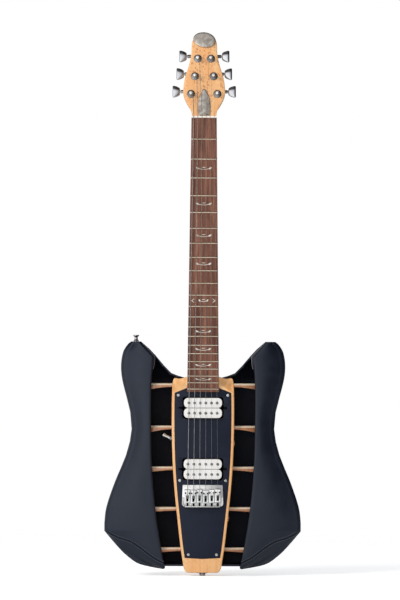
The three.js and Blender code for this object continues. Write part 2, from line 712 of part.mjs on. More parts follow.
function bridge_plate() {
  const top_half = bridge_top_width / 2;
  const end_half = bridge_end_width / 2;
  const corner = quarter(3).map((angle) => [end_half - bridge_corner * (1 - Math.cos(angle)),
    bridge_end_z + bridge_corner * (1 - Math.sin(angle))]);
  const right = [[top_half, bridge_top_z], ...corner];
  const flat = slab([...right, ...mirrored(right)], bridge_front, plate_front);
  const lip = block([-bridge_lip_width / 2, bridge_lip_width / 2],
    [bridge_front - bridge_lip_height, plate_front - bridge_thickness / 2],
    [bridge_end_z, bridge_end_z + bridge_lip_thickness]);
  const length_screws = string_gauges.flatMap((_, number) => {
    const place = [string_x(number, saddle_z), -length_screw_front, bridge_end_z - length_screw_head];
    return [
      bar(length_screw_head_radius, length_screw_head + bridge_lip_thickness / 2, place, along_z, 8),
      bar(length_screw_radius, length_screw_head + bridge_lip_thickness + length_screw_reach, place,
        along_z, 6),
    ];
  });
  const head_front = bridge_front - bridge_screw_head_height;
  const screws = bridge_screw_places.flatMap((x) => [
    bar_through(bridge_screw_head_radius, x, bridge_screw_z, head_front, plate_front, 8),
    bar_through(bridge_screw_radius, x, bridge_screw_z, bridge_front, bridge_screw_length, 6),
  ]);
  const drilled = cut(flat, string_holes(string_hole_radius, -overrun, plate_front + overrun));
  return joined([drilled, lip, ...length_screws, ...screws]);
}

// Saddles: each a slotted block on two height screws, with its crown under the string
const saddle_width = 9.9;
const saddle_rise = 9.2;
const saddle_fall = 14;
const saddle_lift = 1;
const saddle_slot_width = 3.6;
const saddle_slot_start = 1.5;
const saddle_slot_end = 11.2;
const saddle_round = 2.5;
const saddle_tail_fall = 2.4;
const saddle_screw_out = 3.1;
const saddle_screw_rise = 2.9;
const saddle_screw_radius = 1.1;
const saddle_screw_proud = 0.5;
const saddle_top_z = saddle_z + saddle_rise;
const saddle_back_z = saddle_z - saddle_fall;
const saddle_slot_top_z = saddle_z - saddle_slot_start;
const saddle_slot_end_z = saddle_z - saddle_slot_end;
const saddle_screw_z = saddle_z + saddle_screw_rise;
const saddle_trims = [-0.2, -0.8, 0.6, -1, 0.3, 1];

function saddle(number) {
  const x = string_x(number, saddle_z);
  const top = string_y(saddle_z) + string_gauges[number] / 2 + seat_gap;
  const bottom = bridge_front - saddle_lift;
  const side = [
    [bottom, saddle_top_z],
    [top + saddle_round, saddle_top_z],
    [top + saddle_round / 4, saddle_top_z - saddle_round / 2],
    [top, saddle_top_z - 1.5 * saddle_round],
    [top, saddle_slot_top_z - saddle_round / 2],
    [top + saddle_tail_fall, saddle_slot_end_z],
    [top + saddle_tail_fall, saddle_back_z],
    [bottom, saddle_back_z],
  ];
  const body = lofted(both_sides.map((edge) => side.map(([y, z]) => [x + (edge * saddle_width) / 2, y, z])));
  const slot = block([x - saddle_slot_width / 2, x + saddle_slot_width / 2],
    [top - overrun, bottom + overrun], [saddle_slot_end_z, saddle_slot_top_z]);
  const bore_length = saddle_slot_end_z - saddle_back_z + 2 * overrun;
  const length_screw_bore = bar(length_screw_radius + seat_gap, bore_length,
    [x, -length_screw_front, saddle_back_z - overrun], along_z, 6);
  const screws = both_sides.map((side_of) => bar_through(saddle_screw_radius, x + side_of * saddle_screw_out,
    saddle_screw_z, top - saddle_screw_proud, bridge_front, 6));
  return joined([cut(body, [slot, length_screw_bore]), ...screws]).translate([0, 0, saddle_trims[number]]);
}

// Strings: from a ball behind the spine, over the saddle and the nut, to three turns round the post
const string_ball_radius = 2;
const string_ball_length = 3.2;
const string_ball_room = 4;
const ball_front = shell_depth - string_ball_room + seat_gap;
const winding_turns = 3;
const winding_steps = 10;
const winding_gap = 0.45;
const winding_entry = 3.6;
const string_bend = 1.7;

function winding({ side, x, z, number }) {
  const gauge = string_gauges[number];
  const radius = post_waist_radius + seat_gap + gauge / 2;
  return spaced(0, winding_turns, winding_turns * winding_steps).map((turn) => {
    const angle = 2 * Math.PI * turn;
    return new THREE.Vector3(x - side * radius * Math.cos(angle),
      -winding_entry - turn * (gauge + winding_gap), z + radius * Math.sin(angle));
  });
}

function least_winding_gap(points, gauge) {
  const spans = points.flatMap((point, i) =>
    points.slice(i + winding_steps / 2).map((other) => point.distanceTo(other)));
  return Math.min(...spans) - gauge;
}

function string_route(tuner) {
  const { number } = tuner;
  const x = string_x(number, saddle_z);
  const crown_y = string_y(saddle_z);
  const past_nut = nut_thickness + seat_gap;
  const coil = winding(tuner).map((point) => point.applyMatrix4(head_group.matrix).toArray());
  return [
    [x, ball_front + seat_gap, string_hole_z], [x, crown_y + string_bend, string_hole_z],
    [x, crown_y + string_bend / 4, string_hole_z + string_bend / 3],
    [x, crown_y, string_hole_z + string_bend],
    [x, crown_y, saddle_z], [string_x(number, 0), -string_height_at_nut, 0],
    [string_x(number, past_nut), -string_height_at_nut, past_nut], ...coil,
  ];
}

// Tuner pieces, in the headstock's own frame
const button_length = 13.2;
const button_depth = 7.2;
const button_height = 20.6;
const button_ring_shares = [
  { along: 0, deep: 0.667, tall: 0.311 },
  { along: 0.114, deep: 0.806, tall: 0.466 },
  { along: 0.379, deep: 0.889, tall: 0.718 },
  { along: 0.72, deep: 1, tall: 0.961 },
  { along: 0.932, deep: 0.889, tall: 1 },
  { along: 1, deep: 0.5, tall: 0.874 },
];
const housing_corner = 3;
const housing_front = head_thickness + seat_gap;
const post_socket = 3;
const post_waist_up = 2.6;
const tuner_screw_in = 5;
const tuner_screw_fall = 7;
const tuner_screw_head_radius = 2.3;
const tuner_screw_head = 1;

function tuner_post({ x, z }) {
  const back = housing_front + post_socket - seat_gap;
  const reach = back + post_height;
  const waist_start = back + post_waist_up;
  const neck = post_radius - post_waist_radius;
  return turned([
    [0, 0], [post_radius, 0], [post_radius, waist_start - neck], [post_waist_radius, waist_start],
    [post_waist_radius, reach - 4 * neck], [post_radius, reach - 3 * neck], [post_radius, reach - neck],
    [post_waist_radius, reach], [0, reach],
  ], [x, back, z], along_y.clone().negate(), 10);
}

function tuner_button({ side, x, z }) {
  const height = z + shaft_rise;
  const shaft_length = button_reach - button_length / 2;
  const angles = spaced(0, 2 * Math.PI, 10).slice(1);
  const rings = button_ring_shares.map(({ along, deep, tall }) => angles.map((angle) => [
    x + side * (shaft_length + along * button_length),
    shaft_depth + ((deep * button_depth) / 2) * Math.cos(angle),
    height + ((tall * button_height) / 2) * Math.sin(angle),
  ]));
  const shaft = bar(shaft_radius, shaft_length + join_depth, [x, shaft_depth, height],
    along_x.clone().multiplyScalar(side), 8);
  return joined([lofted(rings), shaft]);
}

function tuner_housing({ side, x, z }) {
  const [low, high] = [-1, 1].map((end) => z + (shaft_rise + end * housing_height) / 2);
  const corners = [[-1, low, 1], [1, low, 1], [1, high, -1], [-1, high, -1]];
  const outline = corners.flatMap(([across, edge, inward]) => {
    const flank = [x + across * housing_half_width, edge + inward * housing_corner];
    const end = [x + across * (housing_half_width - housing_corner), edge];
    return across * inward > 0 ? [end, flank] : [flank, end];
  });
  const housing_back = housing_front + housing_depth;
  const screw_x = x - side * tuner_screw_in;
  const screw_z = z - tuner_screw_fall;
  const whole = joined([
    slab(outline, housing_front, housing_back),
    bar_through(bushing_radius, x, z, -seat_gap - washer_thickness / 2, housing_front + join_depth, 8),
    bar_through(washer_radius, x, z, -seat_gap - washer_thickness, -seat_gap, 14),
    bar_through(tuner_screw_head_radius, screw_x, screw_z, housing_back - tuner_screw_head,
      housing_back + tuner_screw_head, 6),
    bar_through(tuner_screw_radius, screw_x, screw_z, housing_back + tuner_screw_head - tuner_screw_length,
      housing_back, 6),
  ]);
  return cut(whole, [
    bar_through(bushing_bore_radius, x, z, -overrun, housing_front + post_socket, 10),
    bar(shaft_radius + seat_gap, housing_half_width + overrun,
      [x - side * seat_gap, shaft_depth, z + shaft_rise], along_x.clone().multiplyScalar(side), 8),
  ]);
}

const tuner_screw_holes = tuners.map(({ side, x, z }) => {
  const hole_front = housing_front + housing_depth + tuner_screw_head - tuner_screw_length - seat_gap;
  return in_head(bar_through(tuner_screw_radius + seat_gap, x - side * tuner_screw_in,
    z - tuner_screw_fall, hole_front, head_thickness + overrun, 6));
});

// Truss-rod cover and oval end cap on the headstock's face
const cover_thickness = 2.2;
const cover_width = 21.7;
const cover_height = 47;
const cover_outline_shares = [
  [0.839, 0.013], [1, 0.298], [0.977, 0.553], [0.756, 0.766], [0.369, 0.926], [0, 1],
];
const cap_length = 38.7;
const cap_height = 26.3;
const cap_thickness = 4;
const cap_up = 133;
const cap_turn = THREE.MathUtils.degToRad(-8);

function truss_rod_cover() {
  const right = cover_outline_shares.map(([out, up]) => [(out * cover_width) / 2, up * cover_height]);
  return slab([...right, ...mirrored(right.slice(0, -1))], -seat_gap - cover_thickness, -seat_gap);
}

function end_cap() {
  const outline = spaced(0, 2 * Math.PI, 28).slice(1).map((angle) => {
    const [across, up] = [(cap_length / 2) * Math.cos(angle), (cap_height / 2) * Math.sin(angle)];
    return [across * Math.cos(cap_turn) - up * Math.sin(cap_turn),
      cap_up + across * Math.sin(cap_turn) + up * Math.cos(cap_turn)];
  });
  return slab(outline, -seat_gap - cap_thickness, -seat_gap);
}

// Controls: two thumbwheels at the spine's right edge and a lever switch at its left edge
const wheel_radius = 11.6;
const wheel_thickness = 5;
const wheel_front = 12.4;
const wheel_room = 0.7;
const wheel_scallops = 15;
const wheel_scallop_depth = 0.8;
const wheel_shaft_radius = 2;
const wheel_proud = 2;
const pot_radius = 6.2;
const pot_length = 7.2;
const pot_bore = 5;
const pot_neck_radius = 3.5;
const volume_wheel_fall = 8.4;
const tone_wheel_fall = 19.2;
const switch_fall = 21.8;
const switch_z = station_z(rib_top_shares[1]) - switch_fall;
const wheel_place = (name, z) => ({ name, z, x: spine_half(z) + wheel_proud - wheel_radius });
const wheels = [
  wheel_place('volume_wheel', switch_z - volume_wheel_fall),
  wheel_place('tone_wheel', bridge_end_z - tone_wheel_fall),
];

function thumbwheel({ x, z }) {
  const rim = spaced(0, 2 * Math.PI, wheel_scallops * 3).slice(1).map((angle) => {
    const radius = wheel_radius - (wheel_scallop_depth * (1 - Math.cos(wheel_scallops * angle))) / 2;
    return [x + radius * Math.cos(angle), z + radius * Math.sin(angle)];
  });
  const shaft_front = plate_recess + pot_length - pot_bore + seat_gap;
  return joined([slab(rim, wheel_front, wheel_front + wheel_thickness),
    bar_through(wheel_shaft_radius, x, z, shaft_front, wheel_front + join_depth, 8)]);
}

const switch_depth = 13;
const switch_tube_radius = 4.1;
const switch_bore_radius = 3;
const switch_tube_proud = 4;
const switch_pivot_in = 2;
const switch_bore_length = 8;
const switch_body_width = 14;
const switch_body_height = 22;
const switch_body_depth = 8.4;
const switch_wall = 9;
const lever_rest = THREE.MathUtils.degToRad(27);
const lever_length = 15.4;
const lever_ball_radius = 2.6;
const lever_waist_radius = 1.3;
const lever_tip_radius = 3.1;
const lever_profile_shares = { waist_end: 0.45, widest: 0.92, tip_face: 0.8 };
const switch_mouth_x = -spine_half(switch_z) - switch_tube_proud;
const cavity_left_x = -spine_half(switch_z) + switch_wall;
const pivot = [switch_mouth_x + switch_pivot_in, switch_depth, switch_z];

function selector_switch() {
  const body = block([cavity_left_x + seat_gap, cavity_left_x + seat_gap + switch_body_width],
    [switch_depth - switch_body_depth / 2, switch_depth + switch_body_depth / 2],
    [switch_z - switch_body_height / 2, switch_z + switch_body_height / 2]);
  const collar = bar(switch_tube_radius, cavity_left_x + join_depth - switch_mouth_x,
    [switch_mouth_x, switch_depth, switch_z], along_x, 12);
  const bore = bar(switch_bore_radius, switch_bore_length + overrun,
    [switch_mouth_x - overrun, switch_depth, switch_z], along_x, 12);
  return cut(joined([body, collar]), [bore]);
}

function selector_lever() {
  const aim = new THREE.Vector3(-Math.cos(lever_rest), 0, Math.sin(lever_rest));
  const ball = new THREE.SphereGeometry(lever_ball_radius, 10, 6).translate(...pivot);
  const { waist_end, widest, tip_face } = lever_profile_shares;
  const stem = turned([
    [0, 0], [lever_waist_radius, 0], [lever_waist_radius, lever_length * waist_end],
    [lever_tip_radius, lever_length * widest], [lever_tip_radius * tip_face, lever_length],
    [0, lever_length],
  ], pivot, aim, 10);
  return joined([solid(ball), stem]);
}

// Strap buttons and output jack
const end_button_depth = 11;
const end_button_height = 5.2;
const jack_depth = 31;
const jack_plate_radius = 10;
const jack_plate_thickness = 1.5;
const jack_tube_radius = 4.6;
const jack_tube_length = 26;
const jack_nut_radius = 6.2;
const jack_nut_height = 2.4;
const jack_bore_radius = 3.2;
const jack_bore_length = 24;
const along_down = along_z.clone().negate();
const strap_button_shares = [[0.85, 0], [0.62, 0.2], [0.55, 0.5], [0.7, 0.76], [1, 0.88], [1, 1]];

function strap_button(height, at, direction) {
  const rim = strap_button_shares.map(([out, up]) => [out * strap_button_radius, up * height]);
  const screw_end = at.map((value, axis) => value - direction.getComponent(axis) * strap_screw_length);
  return joined([turned([[0, 0], ...rim, [0, height]], at, direction, 16),
    bar(strap_screw_radius, strap_screw_length + join_depth, screw_end, direction, 8)]);
}

function output_jack() {
  const base = -spine_end_drop - seat_gap;
  const rod = (radius, from, to, sides) =>
    bar(radius, to - from, [0, jack_depth, base + from], along_z, sides);
  const face = -jack_plate_thickness - jack_nut_height;
  const whole = joined([
    rod(jack_plate_radius, -jack_plate_thickness, 0, 18),
    rod(jack_nut_radius, face, 0, 6),
    rod(jack_tube_radius, face, jack_tube_length, 12),
  ]);
  return cut(whole, [rod(jack_bore_radius, face - overrun, jack_bore_length, 12)]);
}

function front_plate() {
  const plate = cut(slab(plate_outline(0), plate_front, plate_recess), [
    ...pickup_places.map(({ centre_z }) =>
      pickup_opening(centre_z, plate_front - overrun, plate_recess + overrun)),
    ...string_holes(string_hole_radius, -overrun, plate_recess + overrun),
    ...bridge_screw_places.map((x) => bar_through(bridge_screw_radius + seat_gap, x, bridge_screw_z,
      -overrun, plate_recess + overrun, 6)),
  ]);
  const head_front = plate_front - plate_screw_head_height;
  const screws = plate_screws.flatMap(({ out, z }) => both_sides.flatMap((side) => [
    bar_through(plate_screw_head_radius, side * out, z, head_front, plate_recess - join_depth, 8),
    bar_through(plate_screw_radius, side * out, z, plate_front, plate_screw_length, 6),
  ]));
  const pot_back = plate_recess + pot_length;
  const pots = wheels.map(({ x, z }) => {
    const can = bar_through(pot_radius, x, z, plate_recess, pot_back, 12);
    const neck = bar_through(pot_neck_radius, x, z, plate_recess - join_depth,
      plate_recess + join_depth, 8);
    const bore = bar_through(wheel_shaft_radius + seat_gap, x, z, pot_back - pot_bore,
      pot_back + overrun, 8);
    return cut(joined([can, neck]), [bore]);
  });
  return joined([plate, ...screws, ...pots]);
}

// Control cavity between the pickups
const cavity_rise = 21.4;
const cavity_fall = 23.6;
const cavity_right_x = 36;
const cavity_depth = 33;
const pot_room = 0.8;

function neck_spine() {
  const beam = joined([neck_beam(), headstock(), slab(spine_outline(0), 0, heel_depth),
    slab(window_outline(0), heel_depth, shell_depth)]);
  const controls = [
    block([cavity_left_x, cavity_right_x], [-overrun, cavity_depth],
      [switch_z - cavity_fall, switch_z + cavity_rise]),
    bar(switch_tube_radius + seat_gap, switch_wall + 2 * overrun,
      [-spine_half(switch_z) - overrun, switch_depth, switch_z], along_x, 12),
    ...wheels.flatMap(({ x, z }) => [
      bar_through(pot_radius + pot_room, x, z, plate_recess - seat_gap, wheel_front, 12),
      bar_through(wheel_radius + wheel_room, x, z, wheel_front - wheel_room,
        wheel_front + wheel_thickness + wheel_room, 20),
    ]),
  ];
  const pickup_pockets = pickup_places.flatMap(({ centre_z }) => [
    pickup_opening(centre_z, -overrun, pickup_pocket_depth),
    ...both_sides.map((side) => bar_through(height_screw_radius + seat_gap, side * height_screw_out,
      centre_z, 0, height_screw_length + seat_gap, 6)),
  ]);
  const screw_holes = [
    ...plate_screws.flatMap(({ out, z }) => both_sides.map((side) =>
      bar_through(plate_screw_radius + seat_gap, side * out, z, 0, plate_screw_length + seat_gap, 6))),
    ...bridge_screw_places.map((x) => bar_through(bridge_screw_radius + seat_gap, x, bridge_screw_z, 0,
      bridge_screw_length + seat_gap, 6)),
    ...string_holes(string_hole_radius, 0, shell_depth + overrun),
    ...string_holes(string_ball_radius + seat_gap, shell_depth - string_ball_room, shell_depth + overrun),
    bar(strap_screw_radius + seat_gap, strap_screw_length + seat_gap + overrun,
      [0, end_button_depth, -spine_end_drop - overrun], along_z, 8),
    bar(jack_tube_radius + seat_gap, jack_tube_length + seat_gap + overrun,
      [0, jack_depth, -spine_end_drop - overrun], along_z, 12),
  ];
  return cut(beam, [slab(plate_outline(seat_gap), -overrun, plate_recess), truss_channel, ...controls,
    ...pickup_pockets, ...screw_holes, ...post_holes, ...tuner_screw_holes]);
}

add_piece('neck_spine', neck_spine(), maple);
add_piece('front_plate', front_plate(), plate_black);
pickup_places.forEach(({ name, centre_z }) => add_piece(name, pickup(centre_z), ivory_plastic));
add_piece('bridge_plate', bridge_plate(), chrome);
string_gauges.forEach((_, number) => add_piece(`saddle_${number + 1}`, saddle(number), chrome));

const winding_gaps = tuners.map((tuner) => {
  const { number } = tuner;
  const ball_back = ball_front + string_ball_length;
  const ball = bar_through(string_ball_radius, string_x(number, saddle_z), string_hole_z, ball_front,
    ball_back, 6);
  const wire = tube(string_route(tuner), string_gauges[number] / 2, 4);
  add_piece(`string_${number + 1}`, joined([wire, ball]), steel);
  const name = `tuner_${number + 1}`;
  add_piece(`${name}_housing`, tuner_housing(tuner), chrome, head_group);
  add_piece(`${name}_post`, tuner_post(tuner), chrome, head_group);
  add_piece(`${name}_button`, tuner_button(tuner), chrome, head_group);
  return least_winding_gap(winding(tuner), string_gauges[number]);
});
console.log('least gap of a string winding to itself, mm:', Math.min(...winding_gaps).toFixed(2));

add_piece('truss_rod_cover', truss_rod_cover(), pewter, head_group);
add_piece('headstock_cap', end_cap(), pewter, head_group);
wheels.forEach((wheel) => add_piece(wheel.name, thumbwheel(wheel), wheel_wood));
add_piece('selector_switch', selector_switch(), steel);
add_piece('selector_lever', selector_lever(), chrome);
add_piece('horn_strap_button', strap_button(strap_button_height,
  [-strap_button_out, strap_button_depth, -body_top_drop + seat_gap], along_z), chrome);
add_piece('end_strap_button', strap_button(end_button_height,
  [0, end_button_depth, -spine_end_drop - seat_gap], along_down), chrome);
add_piece('output_jack', output_jack(), chrome);

export default guitar;
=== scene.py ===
# %% [markdown]
# # An open-frame electric guitar
#
# The guitar is one long beam of maple, from the headstock to the tail. Wooden ribs tie that beam to two black
# shells, so most of the body is air. The measured frame is loaded first and never moves: every surface below is
# worked out in the same millimetres and laid over it.

# %% Load the frame
import math

import bmesh
import bpy
import numpy as np
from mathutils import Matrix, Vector
from mathutils.geometry import tessellate_polygon


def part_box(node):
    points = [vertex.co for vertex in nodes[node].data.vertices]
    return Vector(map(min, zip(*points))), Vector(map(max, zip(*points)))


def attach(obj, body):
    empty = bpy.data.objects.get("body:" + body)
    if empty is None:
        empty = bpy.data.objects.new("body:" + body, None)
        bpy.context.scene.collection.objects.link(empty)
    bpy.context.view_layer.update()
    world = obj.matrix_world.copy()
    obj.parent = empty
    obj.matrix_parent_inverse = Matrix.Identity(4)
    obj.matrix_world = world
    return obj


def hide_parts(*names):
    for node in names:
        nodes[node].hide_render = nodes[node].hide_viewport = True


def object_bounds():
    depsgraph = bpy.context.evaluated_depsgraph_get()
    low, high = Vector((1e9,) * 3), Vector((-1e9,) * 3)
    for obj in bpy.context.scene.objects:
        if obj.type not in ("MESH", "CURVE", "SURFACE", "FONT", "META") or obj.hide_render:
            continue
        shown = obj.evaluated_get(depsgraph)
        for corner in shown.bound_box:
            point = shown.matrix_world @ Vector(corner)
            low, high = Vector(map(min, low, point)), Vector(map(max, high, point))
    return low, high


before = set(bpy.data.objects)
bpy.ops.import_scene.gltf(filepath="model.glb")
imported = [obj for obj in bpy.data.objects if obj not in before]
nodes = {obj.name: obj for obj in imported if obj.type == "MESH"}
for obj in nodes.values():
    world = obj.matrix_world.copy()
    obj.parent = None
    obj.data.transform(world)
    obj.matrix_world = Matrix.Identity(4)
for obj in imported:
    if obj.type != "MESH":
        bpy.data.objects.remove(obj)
frame_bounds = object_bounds()

# %% [markdown]
# ## The camera
#
# The picture was taken square on with a long lens. In it, 1.72 mm of guitar covers one pixel, so the frame's
# 600 pixels span 1.032 m, and the middle of the picture lies 313 mm below the nut. The picture leans by a fifth
# of a degree, so the camera does too. It comes first, because all later looks are judged through it.

# %% Place the camera
mm = 0.001
millimetres_per_pixel = 1.72
picture_height_px = 600
picture_centre_px = (200, 300)
nut_px = (203.4, 118)
camera_distance = 9.0
camera_roll = math.radians(-0.22)
film_width = 36

camera_data = bpy.data.cameras.new("camera")
camera_data.sensor_width = film_width
picture_height = picture_height_px * millimetres_per_pixel * mm
camera_data.lens = film_width * camera_distance / picture_height
camera = bpy.data.objects.new("camera", camera_data)
camera.location = (
    (picture_centre_px[0] - nut_px[0]) * millimetres_per_pixel * mm,
    -camera_distance,
    (nut_px[1] - picture_centre_px[1]) * millimetres_per_pixel * mm,
)
camera.rotation_euler = (math.pi / 2, camera_roll, 0)
bpy.context.scene.collection.objects.link(camera)
bpy.context.scene.camera = camera
print("lens", round(camera_data.lens, 1), "mm, camera at", [round(v, 3) for v in camera.location])

# %% [markdown]
# ## Shapes from arrays
#
# Every shape is either a stack of rings or a flat outline with holes. A ring stack is an array of rows x
# columns x 3, so one function can close any of them. Flat outlines keep their exact edge and are filled with
# triangles, which costs nothing on a plane and lets a plate have as many holes as it likes.

# %% Curves
def smooth_curve(table, places):
    """Height of a curve at each place: between two (place, height) pairs it is a cubic that meets its
    neighbours with the slope of the chord across them."""
    x, y = np.array(table, float).T
    before = np.maximum(np.arange(len(x)) - 1, 0)
    after = np.minimum(np.arange(len(x)) + 1, len(x) - 1)
    slope = (y[after] - y[before]) / (x[after] - x[before])
    spot = np.clip(places, x[0], x[-1])
    i = np.clip(np.searchsorted(x, spot) - 1, 0, len(x) - 2)
    width = x[i + 1] - x[i]
    t = (spot - x[i]) / width
    rise = y[i + 1] - y[i]
    start = t * (1 - t) ** 2 * width * slope[i]
    end = t ** 2 * (1 - t) * width * slope[i + 1]
    return y[i] + t ** 2 * (3 - 2 * t) * rise + start - end


def mix(start, end, share):
    """The value a given share of the way from start to end."""
    return start + (end - start) * share


def quarter(steps):
    """Angles of a quarter turn."""
    return np.linspace(0, math.pi / 2, steps + 1)


def mirrored(outline):
    """The same outline on the other side of the centreline, walked the other way."""
    return (np.asarray(outline, float) * (-1, 1))[::-1]


# %% Rings and flat faces
def walls(rings):
    """Quads between neighbouring rings of a rows x columns x 3 array, the last column joined to the first."""
    rows, columns = rings.shape[:2]
    column = np.arange(columns)
    first = np.arange(rows - 1)[:, None] * columns
    corner, beside = first + column, first + (column + 1) % columns
    quads = np.stack([corner, beside, beside + columns, corner + columns], -1).reshape(-1, 4)
    return rings.reshape(-1, 3), quads.tolist()


def closed(rings):
    """Ring walls with a flat face over the first and the last ring."""
    points, faces = walls(rings)
    rows, columns = rings.shape[:2]
    last = (rows - 1) * columns
    return points, faces + [list(range(columns)), list(range(last, last + columns))]


def inset(outline, distance):
    """The outline moved inwards: each point goes along the normal of the chord across its neighbours."""
    outline = np.asarray(outline, float)
    chord = np.roll(outline, -1, 0) - np.roll(outline, 1, 0)
    normal = np.stack([chord[:, 1], -chord[:, 0]], 1) / np.linalg.norm(chord, axis=1)[:, None]
    x, z = outline.T
    turn = np.sign(np.sum(x * np.roll(z, -1) - z * np.roll(x, -1)))
    return outline - turn * normal * distance


def stacked(outline, profile):
    """Rings of an [x, z] outline: one for each (y, inset) pair of the profile."""
    rings = []
    for y, distance in profile:
        x, z = inset(outline, distance).T
        rings.append(np.stack([x, np.full_like(x, y), z], 1))
    return np.array(rings)


def soft_edges(front, back, radius, steps=4):
    """The profile of a plate with round edges: (y, inset) pairs on a quarter circle at each face."""
    angle = quarter(steps)
    y = radius * (1 - np.sin(angle))
    far = radius * (1 - np.cos(angle))
    return list(zip(front + y, far))[::-1] + list(zip(back - y, far))


def cap(ring, holes=()):
    """A flat face over a ring, with a hole for each further ring, filled with triangles."""
    loops = [ring, *holes]
    triangles = tessellate_polygon([[Vector(point) for point in loop] for loop in loops])
    return np.concatenate(loops), [list(triangle) for triangle in triangles]


def pierced(outline, holes, profile):
    """A plate with holes: the outline and each hole follow the profile, the holes opening where it insets."""
    outer = stacked(outline, profile)
    inner = [stacked(hole, [(y, -distance) for y, distance in profile]) for hole in holes]
    faces = [cap(outer[end], [hole[end] for hole in inner]) for end in (0, -1)]
    return [walls(outer), *[walls(hole) for hole in inner], *faces]


# %% Turned, swept and rounded forms
def unit(vector):
    """The vector at length one."""
    vector = np.asarray(vector, float)
    return vector / np.linalg.norm(vector, axis=-1, keepdims=True)


def round_the(axis, sides):
    """Unit vectors all round an axis: cosine times one square direction plus sine times the other."""
    axis = unit(axis)
    side = unit(np.cross(axis, np.roll(axis, 1) + (0.3, 0.1, 0.2)))
    up = np.cross(axis, side)
    angle = np.linspace(0, 2 * math.pi, sides, endpoint=False)[:, None]
    return np.cos(angle) * side + np.sin(angle) * up


def turned(profile, at, axis, sides=32):
    """A turned piece: each (radius, distance) of the profile swung round the axis that leaves the point."""
    radius, distance = np.array(profile, float).T
    rim = round_the(axis, sides)
    rings = np.asarray(at, float) + distance[:, None, None] * unit(axis) + radius[:, None, None] * rim
    return closed(rings)


def bar(radius, length, at, axis, sides=24, edge=0.0):
    """A round bar with its two rims eased by a small chamfer."""
    return turned([(radius - edge, 0), (radius, edge), (radius, length - edge), (radius - edge, length)],
                  at, axis, sides)


def tube(path, radius, across, sides=10):
    """A wire: rings square to the path's tangent, set out from one direction that is never along it."""
    path = np.asarray(path, float)
    tangent = unit(np.gradient(path, axis=0))
    side = unit(np.cross(tangent, across))
    up = np.cross(tangent, side)
    angle = np.linspace(0, 2 * math.pi, sides, endpoint=False)[None, :, None]
    rings = path[:, None] + radius * (np.cos(angle) * side[:, None] + np.sin(angle) * up[:, None])
    return closed(rings)


def ellipse(half_x, half_z, centre, count=48, tilt=0.0):
    """Points of an ellipse, turned by the tilt."""
    angle = np.linspace(0, 2 * math.pi, count, endpoint=False)
    x, z = half_x * np.cos(angle), half_z * np.sin(angle)
    turned_x = x * math.cos(tilt) - z * math.sin(tilt)
    turned_z = x * math.sin(tilt) + z * math.cos(tilt)
    return np.stack([turned_x, turned_z], 1) + centre


def rounded_box(half_x, half_z, corner, centre, steps=6):
    """A rectangle whose four corners are quarter circles."""
    corners = []
    for side, up, turn in ((1, 1, 0), (-1, 1, 1), (-1, -1, 2), (1, -1, 3)):
        angle = quarter(steps) + turn * math.pi / 2
        x = side * (half_x - corner) + corner * np.cos(angle)
        z = up * (half_z - corner) + corner * np.sin(angle)
        corners.append(np.stack([x, z], 1))
    return np.concatenate(corners) + centre


# %% Make a piece
weld_distance, copy_weld_distance = 1e-7, 2e-6


def finished(name, mesh, material, body, replaces, sharp_angle):
    """Shades a mesh smooth up to an angle, gives it its finish, and lets its object ride on its body."""
    mesh.polygons.foreach_set("use_smooth", np.ones(len(mesh.polygons), bool))
    mesh.set_sharp_from_angle(angle=math.radians(sharp_angle))
    mesh.materials.clear()
    mesh.materials.append(material)
    thing = bpy.data.objects.new(name, mesh)
    bpy.context.scene.collection.objects.link(thing)
    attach(thing, body)
    if replaces:
        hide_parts(*replaces)
    return thing


def piece(name, solids, material, body="root", replaces=(), sharp_angle=38):
    """Joins solids into one mesh in metres, merges its doubles, and turns its faces outwards."""
    points, faces, first = [], [], 0
    for part_points, part_faces in solids:
        points.append(part_points)
        faces += [[index + first for index in face] for face in part_faces]
        first += len(part_points)
    mesh = bpy.data.meshes.new(name)
    mesh.from_pydata((np.concatenate(points) * mm).tolist(), [], faces)
    shape = bmesh.new()
    shape.from_mesh(mesh)
    bmesh.ops.remove_doubles(shape, verts=shape.verts, dist=weld_distance)
    bmesh.ops.recalc_face_normals(shape, faces=shape.faces)
    shape.to_mesh(mesh)
    shape.free()
    return finished(name, mesh, material, body, replaces, sharp_angle)


def flipped(solids):
    """The same solids on the other side of the centreline."""
    return [(points * (-1, 1, 1), faces) for points, faces in solids]


def pair(name, solids, material, replaced="", sharp_angle=38):
    """A piece for the right side and its mirror image for the left. The replaced node's name has {} where the
    side's name goes."""
    pieces = []
    for side, shapes in (("right", solids), ("left", flipped(solids))):
        replaces = [replaced.format(side)] if replaced else ()
        pieces.append(piece(f"{side}_{name}", shapes, material, replaces=replaces, sharp_angle=sharp_angle))
    return pieces


# %% [markdown]
# ## Finishes
#
# Each finish is a Principled shader with its own node tree. Patterns that several finishes share, such as wood
# grain or the cloudy smudges of handled metal, are node groups with named sockets. Everything reads Object
# coordinates, which are plain metres here because no piece is ever moved from the origin.

# %% Node helpers
def srgb(red, green, blue):
    """A colour written as it is seen, from 0 to 255, as the linear values a shader works in."""
    seen = np.array([red, green, blue]) / 255
    linear = np.where(seen <= 0.04045, seen / 12.92, ((seen + 0.055) / 1.055) ** 2.4)
    return (*linear.tolist(), 1.0)


def add(tree, kind, inputs=None, **settings):
    """Adds one node, with its settings, and fills its inputs with values or links."""
    node = tree.nodes.new(kind)
    for name, value in settings.items():
        setattr(node, name, value)
    for name, value in (inputs or {}).items():
        if isinstance(value, bpy.types.NodeSocket):
            tree.links.new(value, node.inputs[name])
        else:
            node.inputs[name].default_value = value
    return node


